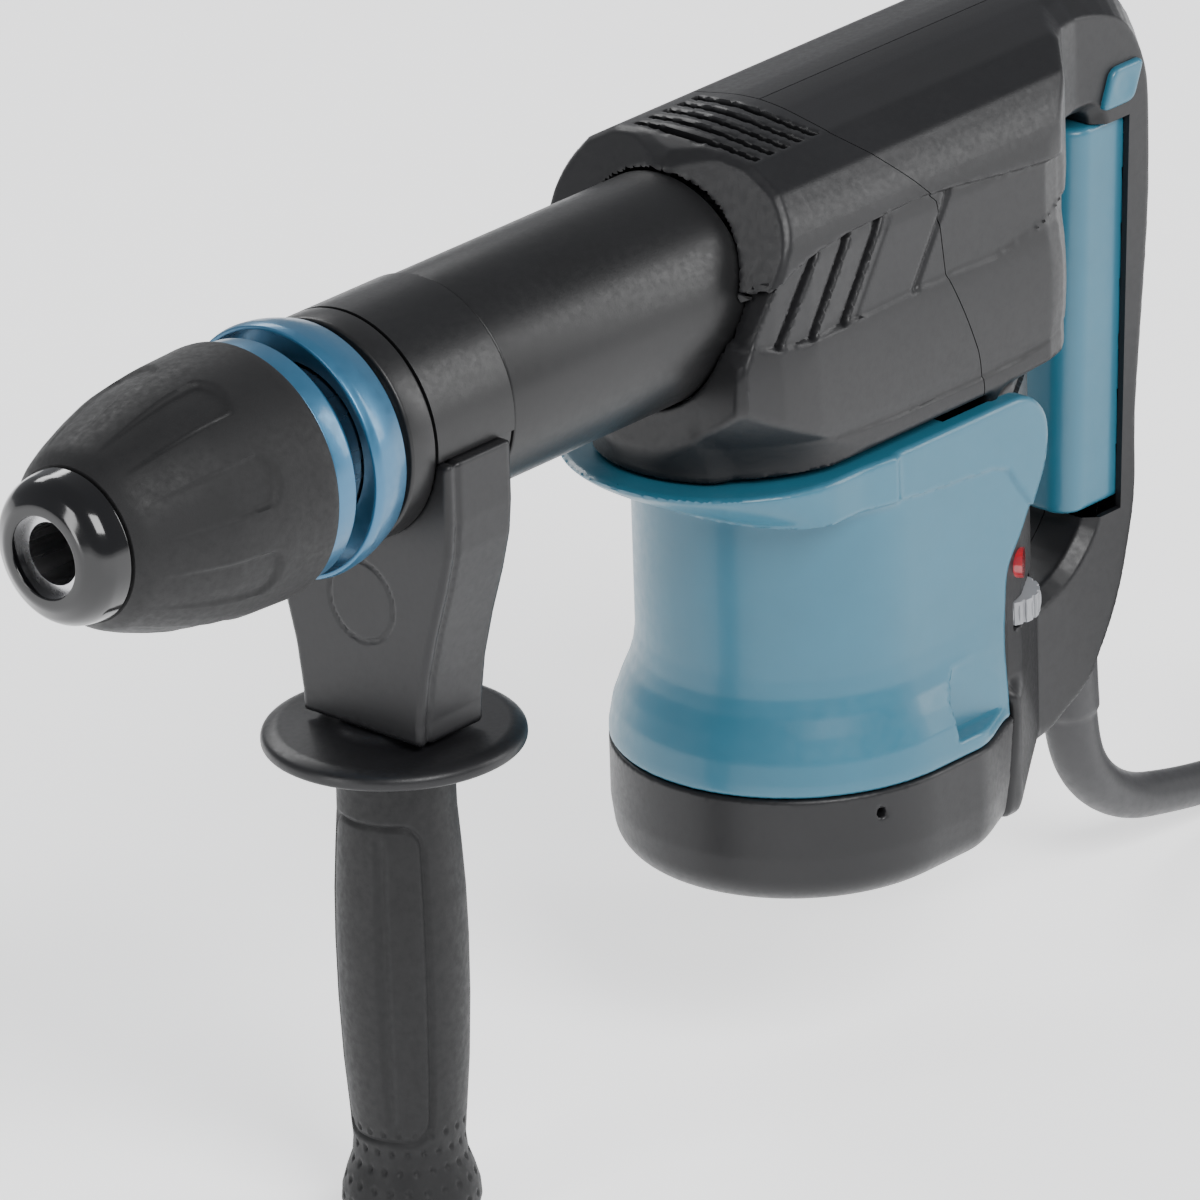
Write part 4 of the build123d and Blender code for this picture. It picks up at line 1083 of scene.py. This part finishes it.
def black_form(x, y, z):
    """Outside of the upper housing and the rear handle."""
    half_y = np.abs(y)
    below = smooth((-49 - z) / 8)
    foot = smooth((-144 - z) / 6)
    half = curve_through(x, UPPER_HALF) * (1 - below) + curve_through(x, MIDDLE_HALF) * below * (1 - foot)
    half = half + curve_through(x, LOWER_HALF) * foot
    plan = (half_y - half) * 0.86
    side = SIDE_VIEW(x, z)
    rear = smooth((x - 70) / 30)
    body = bevel(plan, side, 2.0 + 5.5 * rear)
    body = both(body, END_VIEW(half_y, z), 1.2)
    brow = (-67.3 + 0.25 * half_y + 0.5 * z - x) * 0.873
    body = bevel(body, brow, 1.2)
    chin = np.hypot(np.minimum(x + 12, 0) * 0.86, y) - BODY_HALF - 22 * smooth((z + 52) / 42)
    body = both(body, chin, 1.5)
    on_side = smooth((half_y - 0.5 * half) / 6)
    body = body + side_depth(x, z) * on_side * (z > -60)
    body = without(body, np.maximum(top_slots(x, y), SLOT_FLOOR - z), 0.4)
    body = bevel(body, -HAND_GAP(x, z), 3.6)
    body = both(body, BASE_Z - z, 8.5)
    dial_slot = np.maximum(np.hypot(x - DIAL_X, y - DIAL_Y) - 13.0, np.abs(z - DIAL_Z) - 4.3)
    body = np.maximum(body, -dial_slot)
    bore = np.hypot(y, z) - (BARREL_R + 0.4)
    return without(body, np.maximum(bore, x + 34), 0.8)


FOOT_FLARE = [(-153.5, 8.5), (-150, 8.4), (-143, 7.1), (-136.5, 4.7), (-131, 2.3), (-126, 0.8), (-120, 0)]


def blue_half(x, z):
    """Radius of the motor housing at a height, with its flared foot."""
    fade = 1 - smooth((x - 18) / 26)
    return BODY_HALF + curve_through(z, FOOT_FLARE) * fade


BLUE_SIDE = outline(round_off([
    (-130, BLUE_TOP - 0.3, 0), (52, BLUE_TOP - 1.6, 9), (60.3, -64, 8), (59.8, -78, 7), (48.4, -99, 9),
    (42.2, -107, 8), (40.2, -130, 10), (42, BLUE_BOTTOM, 0), (-130, BLUE_BOTTOM, 0),
], 4))
POCKET = outline([(10.5, -137), (15, -129), (26, -128), (38, -132), (38, -148), (10.5, -148)])
POCKET_FLOOR = 46.5
RIM_LOW = [(-95, -61), (-45, -66.5), (-25.5, -67.7), (8.9, -71.5), (36, -73.8), (42, -76), (46, -82),
           (60, -100)]


def blue_form(x, y, z):
    """Outside of the motor housing: round in front, with a visor under the barrel."""
    rim = 1.1 * smooth((z - curve_through(x, RIM_LOW)) / 0.9 + 0.5)
    body = np.hypot(np.minimum(x, 0), y) - blue_half(x, z) - rim
    depth = np.clip((BLUE_TOP - z) / 13.0, 0, 1)
    reach = 1 - 0.46 * depth ** 1.5
    across = np.hypot((np.minimum(x, -30) + 30) / (45 * reach), y / (BODY_HALF + 1.1)) - 1
    visor = np.maximum(across * 40, -z - 68.0)
    visor = np.maximum(visor, x + 8)
    body = either(body, visor, 5.0)
    body = without(body, np.maximum(POCKET(x, z), POCKET_FLOOR - np.abs(y)), 0.8)
    return bevel(body, BLUE_SIDE(x, z), 1.0)


def cover_form(x, y, z):
    """Outside of the bottom cover."""
    half = curve_through(z, [(-188, 52), (-172, 54), (-150, 54)])
    fade = 8.5 * smooth((x - 18) / 28)
    plan = np.hypot(np.minimum(x, 0), y) - half + fade
    body = both(plan, BASE_Z - z, 9.0)
    lean = (x - (44.0 + 0.18 * (z + 153.3))) * 0.98
    body = bevel(body, lean, 1.4)
    hole = np.hypot(x + 20, z + 160.5) - 1.6
    body = without(body, np.maximum(hole, y + 45), 0.4)
    return np.maximum(body, z - (BLUE_BOTTOM - 0.35))


PADDLE_TOP, PADDLE_BOTTOM, PADDLE_LEAN = -2.0, -120.0, 7.0
PADDLE_BACK = 131.5
PADDLE_CUT = 132.0


def paddle_shift(z):
    """How far forward the leaning paddle stands at a height, from its top."""
    return PADDLE_LEAN * (PADDLE_TOP - z) / (PADDLE_TOP - PADDLE_BOTTOM)


def paddle_form(x, y, z):
    """Outside of the trigger paddle: a leaning strip with a rounded front."""
    lean = x + paddle_shift(z)
    front = 110.0 - lean
    width = np.abs(y) - 15.0
    body = both(front, width, 7.5)
    body = both(body, lean - 134.0, 0.5)
    return both(both(body, z - PADDLE_TOP, 2.0), PADDLE_BOTTOM - z, 2.0)


def button_form(x, y, z):
    """Lock button in the side of the handle: a slanted pad with a dished face."""
    outline_of = outline(round_off([(118, 3), (132, 3), (137, 15), (123, 15)], 3))
    low, high = span("lock_button")
    dish = 0.5 * smooth((5.5 - np.hypot(x - 127.5, z - 9)) / 4)
    return both(both(outline_of(x, z), low.y + dish - y, 1.4), y - high.y, 0.3)


def drop_inside(piece, planes, test):
    """Cuts a skin at some planes and drops the faces whose middles pass the test."""
    form = bmesh.new()
    form.from_mesh(piece.data)
    for place, across in planes:
        bmesh.ops.bisect_plane(form, geom=form.verts[:] + form.edges[:] + form.faces[:],
                               plane_co=in_frame(place), plane_no=Vector(across).normalized(), dist=1e-7)
    shift = Vector((MOTOR_X, 0, STRIKE_Z))
    gone = [face for face in form.faces if test((face.calc_center_median() - shift) / MM)]
    bmesh.ops.delete(form, geom=gone, context="FACES")
    form.to_mesh(piece.data)
    form.free()


def copied(piece, name):
    made = bpy.data.objects.new(name, piece.data.copy())
    made.data.name = name
    bpy.context.scene.collection.objects.link(made)
    return made


class HAMMER_OT_housing(bpy.types.Operator):
    """Upper housing and the two halves of the rear handle"""

    bl_idname = "hammer.housing"
    bl_label = "Housing"

    def execute(self, context):
        sizes = context.scene.hammer_housing
        cell = sizes.cell * 1.0
        whole = moulded("case_skin", black_form, (-72, -50, -193), (152, 50, 48), cell)
        opening = [((PADDLE_BACK, 0, PADDLE_TOP), (PADDLE_TOP - PADDLE_BOTTOM, 0, -PADDLE_LEAN)),
                   ((0, 0, OPENING_TOP), (0, 0, 1)), ((0, 0, OPENING_BOTTOM), (0, 0, 1))]
        drop_inside(whole, opening, lambda p: p.x > 100 and OPENING_BOTTOM < p.z < OPENING_TOP
                    and p.x < PADDLE_BACK - paddle_shift(p.z))
        under = [((0, 0, BLUE_TOP), (0, 0, 1)), ((38.3, 0, 0), (1, 0, 0)), ((-62.5, 0, 0), (1, 0, 0))]
        drop_inside(whole, under, lambda p: (p.z < BLUE_TOP + 0.6 and p.x < 38.6)
                    or (math.hypot(p.y, p.z) < BARREL_R + 0.9 and p.x > -62.5 and p.x < -20))
        for name, keep_front, keep_side in (
            ("upper_housing", True, 0), ("handle_left", False, -1), ("handle_right", False, 1),
        ):
            shell = copied(whole, name + "_shell")
            shift = -sizes.seam / 2 if keep_front else sizes.seam / 2
            trim_along(shell, [(x + shift, z) for x, z in CASE_SEAM], keep_front)
            if keep_side:
                trim(shell, (0, keep_side * sizes.seam / 2, 0), (0, -keep_side, 0))
            thicken(shell, sizes.wall)
            fit(shell, "housing", "black_plastic", name)
        bpy.data.objects.remove(whole)
        return {"FINISHED"}


class HAMMER_OT_motor(bpy.types.Operator):
    """Blue motor housing and the black bottom cover"""

    bl_idname = "hammer.motor"
    bl_label = "Motor housing"

    def execute(self, context):
        sizes = context.scene.hammer_housing
        cell = sizes.cell * 1.1
        blue = moulded("motor_housing_shell", blue_form, (-86, -58, -157), (64, 58, -50), cell)
        drop_inside(blue, [((42.6, 0, 0), (1, 0, 0))],
                    lambda p: abs(p.y) < 41 and p.x > 20 or p.z < BLUE_BOTTOM + 0.05
                    or (p.z > BLUE_TOP - 0.8 and math.hypot(min(p.x, 0), p.y) < 42.5))
        thicken(blue, sizes.wall)
        fit(blue, "housing", "blue_plastic", "motor_housing")
        base = moulded("bottom_cover_shell", cover_form, (-58, -58, -192), (50, 58, -150), cell)
        fit(base, "housing", "black_plastic", "bottom_cover")
        return {"FINISHED"}


class HAMMER_OT_screws(bpy.types.Operator):
    """Screws under the bottom cover and in the right half of the handle"""

    bl_idname = "hammer.screws"
    bl_label = "Screws"

    def execute(self, context):
        sizes = context.scene.hammer_housing
        under = [((x, y, BASE_Z + 0.2), (0, 0, -1)) for x in (-27, 27) for y in (-27, 27)]
        beside = [((x, HANDLE_HALF - 0.2, z), (0, 1, 0)) for x, z in ((124, 21), (128, -140), (98, -164))]
        made = screws("case_screws", under + beside, sizes.screw_head, 1.5, "steel")
        fit(made, "housing", "steel")
        return {"FINISHED"}


class HAMMER_OT_controls(bpy.types.Operator):
    """Trigger paddle, lock button and speed dial"""

    bl_idname = "hammer.controls"
    bl_label = "Controls"

    def execute(self, context):
        paddle = moulded("trigger_shell", paddle_form, (98, -19, -124), (138, 19, 2), 1.0)
        drop_inside(paddle, [], lambda p: p.x + paddle_shift(p.z) > PADDLE_CUT)
        thicken(paddle, 2.0)
        fit(paddle, "paddle", "blue_plastic", "trigger")
        low, high = span("lock_button")
        corners = (115, low.y - 1.5, 0), (140, high.y + 1.5, 18)
        button = moulded("lock_button_cap", button_form, *corners, 0.6)
        fit(button, "button", "blue_plastic", "lock_button")
        low, high = span("speed_dial")
        middle = (low + high) / 2
        tree = repeat_tree("dial_ridge_tree", RIB_INPUTS, rib_build)
        ridges = run_tree("speed_dial_ridges", tree, [(0, 0, 0)], [], {
            "Count": 30, "Ring radius": 11.9 * MM, "Rib radius": 0.5 * MM, "Rib stretch": 5.5,
            "Centre": tuple(in_frame(middle)), "Turn": (0.0, 0.0, 0.0), "Finish": FINISHES["grey_plastic"],
        })
        fit(ridges, "dial", "grey_plastic")
        return {"FINISHED"}


# ---------------------------------------------------------------- chuck and barrel
def dense(profile, step):
    """More rows on a profile, so that a relief can follow it."""
    made = []
    for (a0, r0), (a1, r1) in zip(profile, profile[1:]):
        count = max(1, int(math.hypot(a1 - a0, r1 - r0) / step))
        made += [(a0 + (a1 - a0) * i / count, r0 + (r1 - r0) * i / count) for i in range(count)]
    return made + [profile[-1]]


def relieved(name, outer, inner, axis, centre, segments, relief_of):
    """Turned solid whose outer rows sink by a relief of (along, angle)."""
    along, radius = np.array(list(outer) + list(inner), float).T
    radius = np.repeat(radius[:, None], segments, 1)
    turns = np.linspace(0, 2 * math.pi, segments, endpoint=False)
    count = len(outer)
    radius[:count] -= relief_of(along[:count, None], turns[None, :])
    return turned(name, along, np.maximum(radius, 0), axis, centre, 42)


COVER_OUTER = [(-289.5, 22.6), (-286, 25.9), (-279, 28.9), (-269, 32.3), (-260, 34.8), (-251, 36.0),
               (-243, 36.8), (-235, 37.1), (-227, 37.4), (-224.4, 37.1), (-223.2, 36.0)]
COVER_INNER = [(-223.2, 33.0), (-247, 33.0), (-260, 31.6), (-276, 27.0), (-280, 19.5), (-280, 17.4),
               (-289.5, 17.4)]


def pad_relief(along, turn):
    """Flat finger pads round the release cover, deepest at their rear step."""
    sizes = bpy.context.scene.hammer_chuck
    pitch = 2 * math.pi / sizes.pads
    off = np.abs(np.mod(turn, pitch) - pitch / 2)
    width = math.radians(11.5)
    across = smooth((width - off) / math.radians(2.2) + 0.5)
    bow = 5.0 * (off / width) ** 2
    forward = smooth((along + 287) / 6)
    step = smooth((-245.0 - bow * 0.6 - along) / 1.6 + 0.5)
    depth = sizes.pad_depth * np.clip((along + 287) / 38, 0, 1)
    return depth * across * forward * step


class HAMMER_OT_chuck(bpy.types.Operator):
    """Nose cap, release cover, blue band and change ring"""

    bl_idname = "hammer.chuck"
    bl_label = "Chuck"

    def execute(self, context):
        cap = round_off([(-302, 11.8, 0.6), (-302, 14.9, 1.2), (-299.6, 19.4, 3), (-296.5, 21.3, 1.5),
                         (-290.2, 22.3, 0.8), (-290.2, 17.6, 0), (-293, 17.6, 0), (-293, 14.4, 0),
                         (-298, 14.4, 0), (-298, 11.8, 0)], 0.5, 5)
        fit(lathe("nose_cap_rubber", cap), "holder", "gloss_black", "nose_cap")
        outer = dense(round_off(COVER_OUTER, 2.5, 4, False), 0.8)
        cover = relieved("release_cover_sleeve", outer, COVER_INNER, "X", 0, 320, pad_relief)
        fit(cover, "cover", "soft_rubber", "release_cover")
        band = round_off([(-222.9, 26, 0), (-222.9, 35.3, 0.9), (-215.2, 35.3, 0.9), (-215.2, 31.4, 0.3),
                          (-211.6, 31.4, 0.3), (-211.6, 26, 0)], 0.3)
        fit(lathe("cover_band_ring", band), "cover", "blue_ring", "cover_band")
        ring = round_off([(-208.8, 35.4, 0.3), (-208.8, 36.6, 0.8), (-206.5, 37.2, 1.5), (-201, 36.6, 4),
                          (-194.2, 34.4, 0.8), (-194.2, 24.6, 0), (-201, 24.6, 0), (-201, 35.4, 0)], 0.5, 5)
        fit(lathe("change_ring_sleeve", ring), "ring", "blue_ring", "change_ring")
        return {"FINISHED"}


class HAMMER_OT_barrel(bpy.types.Operator):
    """Barrel and the ring that closes it in front"""

    bl_idname = "hammer.barrel"
    bl_label = "Barrel"

    def execute(self, context):
        tube = round_off([(-190, 24.2, 0), (-190, 27, 0), (-181, 27, 0), (-181, 31, 0.8),
                          (-148.6, 31, 0.3), (-148.6, 32.6, 0.8), (-50, 32.6, 0), (-50, 28, 0),
                          (-168, 28, 0), (-168, 24.2, 0)], 0.5)
        fit(lathe("barrel_tube", tube, segments=160), "housing", "barrel_black", "barrel")
        ring = round_off([(-191, 27, 0), (-191, 33.4, 1.2), (-181.3, 33.4, 0.8), (-181.3, 27, 0)], 0.8)
        fit(lathe("front_ring_collar", ring), "housing", "barrel_black", "front_ring")
        return {"FINISHED"}


# ---------------------------------------------------------------- side grip
SIDE_X = -167.5
BLOCK_EDGE = [(-36.5, -4.4), (-36.4, -22), (-35.4, -32), (-32.4, -44), (-28, -58), (-24.4, -72), (-22.4, -86),
              (-22.2, -92.5)]
SLEEVE_OUTER = [(16.6, -100.4), (17.0, -102), (16.8, -112), (16.9, -120), (17.7, -131), (18.5, -145),
                (18.8, -160), (18.6, -178), (17.8, -197), (16.7, -211), (15.9, -221), (16.4, -226),
                (18.2, -231), (19.6, -236), (19.9, -240), (19.0, -243.6), (16.8, -245.6), (13.5, -246),
                (0, -246)]


def block_form(x, y, z):
    """Grip base: a saddle block under the barrel, tapering to the flange."""
    points = [(y0, z0) for y0, z0 in BLOCK_EDGE]
    section = outline(points + [(-y0, z0) for y0, z0 in reversed(points)])(y, z)
    body = both(section, np.abs(x - SIDE_X) - 13.2, 1.6)
    saddle = np.hypot(y, z) - 32.4
    body = without(body, saddle, 0.3)
    ring = np.maximum(np.abs(np.hypot(y + 2, z + 53) - 12.0) - 0.5, x - (SIDE_X - 12.5))
    body = without(body, ring, 0.3)
    body = body + 0.6 * smooth(1.4 - np.abs(x - (SIDE_X - 9.4))) * (np.abs(y) > 20)
    bolt = np.maximum(np.abs(x - SIDE_X) - 9.3, np.maximum(np.abs(y) - 8.3, np.abs(z + 30) - 9.3))
    body = np.maximum(body, -bolt)
    return np.maximum(body, -(np.hypot(x - SIDE_X, y) - 4.4))


def sleeve_relief(along, turn):
    """Palm panel with its border groove, and a flute beside its middle."""
    sizes = bpy.context.scene.hammer_grip
    off = np.mod(turn - sizes.palm_angle + math.pi, 2 * math.pi) - math.pi
    half = math.radians(56)
    u = np.abs(off) * 18.0 - half * 18.0
    v = np.abs(along + 168.5) - 48.5
    edge = both(u, v, 7.0)
    groove = 1.0 * smooth(1 - np.abs(edge) / 1.5)
    inside = 0.35 * smooth(-edge / 1.6)
    flute = 0.9 * smooth(1 - np.abs(off - math.radians(16)) * 18 / 2.6) * window(along, -205, -130, 10)
    row = (along + 243.0) / 5.6
    level = np.floor(row + 0.5)
    round_pitch = 2 * math.pi / 22
    away = np.mod(turn + level * round_pitch / 2, round_pitch) - round_pitch / 2
    pit = np.hypot(away * 18.5, (row - level) * 5.6)
    on_bulge = (level >= 1) & (level <= 5)
    dimples = 0.6 * smooth((sizes.dimple + 0.35 - pit) / 0.7) * on_bulge
    return groove + inside + flute + dimples


class HAMMER_OT_side_grip(bpy.types.Operator):
    """Grip base, hand guard flange and rubber sleeve"""

    bl_idname = "hammer.side_grip"
    bl_label = "Side grip"

    def execute(self, context):
        corners = (SIDE_X - 15, -38.5, -94.5), (SIDE_X + 15, 38.5, -2.5)
        block = moulded("grip_base_block", block_form, *corners, 0.9)
        fit(block, "grip_clamp", "black_plastic", "grip_base")
        rim = round_off([(-92.9, 4.3, 0), (-92.9, 14.2, 1), (-94.4, 17, 2), (-94.6, 34, 3),
                         (-96.4, 37.4, 1.8), (-99.6, 37.4, 1.2), (-100.2, 34.6, 1), (-100.2, 9, 0),
                         (-236, 9, 0), (-236, 0, 0), (-128, 0, 0), (-128, 7.5, 0), (-104, 7.5, 0),
                         (-104, 4.3, 0)], 1.0, 5)
        flange = lathe("grip_flange_guard", rim, axis="Z", centre=SIDE_X)
        fit(flange, "side_grip", "black_plastic", "grip_flange")
        rows = dense([(z, r) for r, z in SLEEVE_OUTER], 0.6)
        core = [(-236.2, 0), (-236.2, 9.1), (-100.4, 9.1)]
        sleeve = relieved("grip_sleeve_rubber", rows, core, "Z", SIDE_X, 300, sleeve_relief)
        fit(sleeve, "side_grip", "soft_rubber", "grip_sleeve")
        return {"FINISHED"}


# Finish of every CAD node that stays as it is.
NODE_SLOTS = {
    "tool_holder": "steel", "roller_upper": "steel", "roller_lower": "steel", "release_spring": "steel",
    "detent_washer": "steel", "cylinder": "steel", "piston": "cast_alloy", "piston_ring": "soft_rubber",
    "piston_pin": "steel", "connecting_rod": "cast_alloy", "striker": "steel", "striker_ring": "soft_rubber",
    "impact_bolt": "steel", "impact_damper": "soft_rubber", "crank_shaft": "steel", "crank_gear": "steel",
    "crank_bearings": "steel", "armature_shaft": "steel", "armature_core": "laminations",
    "armature_winding": "copper_wire", "commutator": "copper_wire", "armature_bearings": "steel",
    "fan": "inner_plastic", "stator": "laminations", "brush_holders": "copper_wire",
    "carbon_brushes": "soft_rubber", "air_baffle": "inner_plastic", "gear_housing": "cast_alloy",
    "crank_cover": "cast_alloy", "trigger_pin": "steel", "switch_box": "inner_plastic",
    "speed_dial": "grey_plastic", "indicator_lamp": "red_lens", "controller": "inner_plastic",
    "clamp_band": "barrel_black", "clamp_bolt": "steel", "grip_nut": "steel",
}


class HAMMER_OT_gear(bpy.types.Operator):
    """Finishes of the striking gear, crank, motor and the other inner parts"""

    bl_idname = "hammer.gear"
    bl_label = "Inner parts"

    def execute(self, context):
        for name, node in frame["nodes"].items():
            slot_name = NODE_SLOTS.get(name)
            if slot_name is None:
                continue
            node.data.materials.clear()
            node.data.materials.append(FINISHES[slot_name])
        return {"FINISHED"}


class HAMMER_OT_finishes(bpy.types.Operator):
    """Every finish of the hammer"""

    bl_idname = "hammer.finishes"
    bl_label = "Finishes"

    def execute(self, context):
        make_finishes(context.scene.hammer_colours)
        return {"FINISHED"}


class HAMMER_PT_panel(bpy.types.Panel):
    """Sizes, colours and building steps of the hammer"""

    bl_idname = "HAMMER_PT_panel"
    bl_label = "Demolition hammer"
    bl_space_type = "VIEW_3D"
    bl_region_type = "UI"
    bl_category = "Hammer"

    def draw(self, context):
        column = self.layout.column()
        for name, group in GROUPS:
            for field in group.__annotations__:
                column.prop(getattr(context.scene, name), field)
        for step in STEPS:
            column.operator(step.bl_idname)


GROUPS = [
    ("hammer_housing", HammerHousing),
    ("hammer_chuck", HammerChuck),
    ("hammer_grip", HammerGrip),
    ("hammer_cord", HammerCord),
    ("hammer_colours", HammerColours),
]
STEPS = [
    HAMMER_OT_finishes,
    HAMMER_OT_stage,
    HAMMER_OT_cord,
    HAMMER_OT_housing,
    HAMMER_OT_motor,
    HAMMER_OT_screws,
    HAMMER_OT_controls,
    HAMMER_OT_chuck,
    HAMMER_OT_barrel,
    HAMMER_OT_side_grip,
    HAMMER_OT_gear,
]


def register():
    for name, group in GROUPS:
        bpy.utils.register_class(group)
        setattr(bpy.types.Scene, name, bpy.props.PointerProperty(type=group))
    for step in STEPS:
        bpy.utils.register_class(step)
    bpy.utils.register_class(HAMMER_PT_panel)


def unregister():
    bpy.utils.unregister_class(HAMMER_PT_panel)
    for step in reversed(STEPS):
        bpy.utils.unregister_class(step)
    for name, group in reversed(GROUPS):
        delattr(bpy.types.Scene, name)
        bpy.utils.unregister_class(group)


def main():
    register()
    bpy.ops.hammer.finishes()
    bpy.ops.hammer.stage()
    bpy.ops.hammer.cord()
    bpy.ops.hammer.housing()
    bpy.ops.hammer.motor()
    bpy.ops.hammer.screws()
    bpy.ops.hammer.controls()
    bpy.ops.hammer.chuck()
    bpy.ops.hammer.barrel()
    bpy.ops.hammer.side_grip()
    bpy.ops.hammer.gear()


if __name__ == "__main__":
    main()
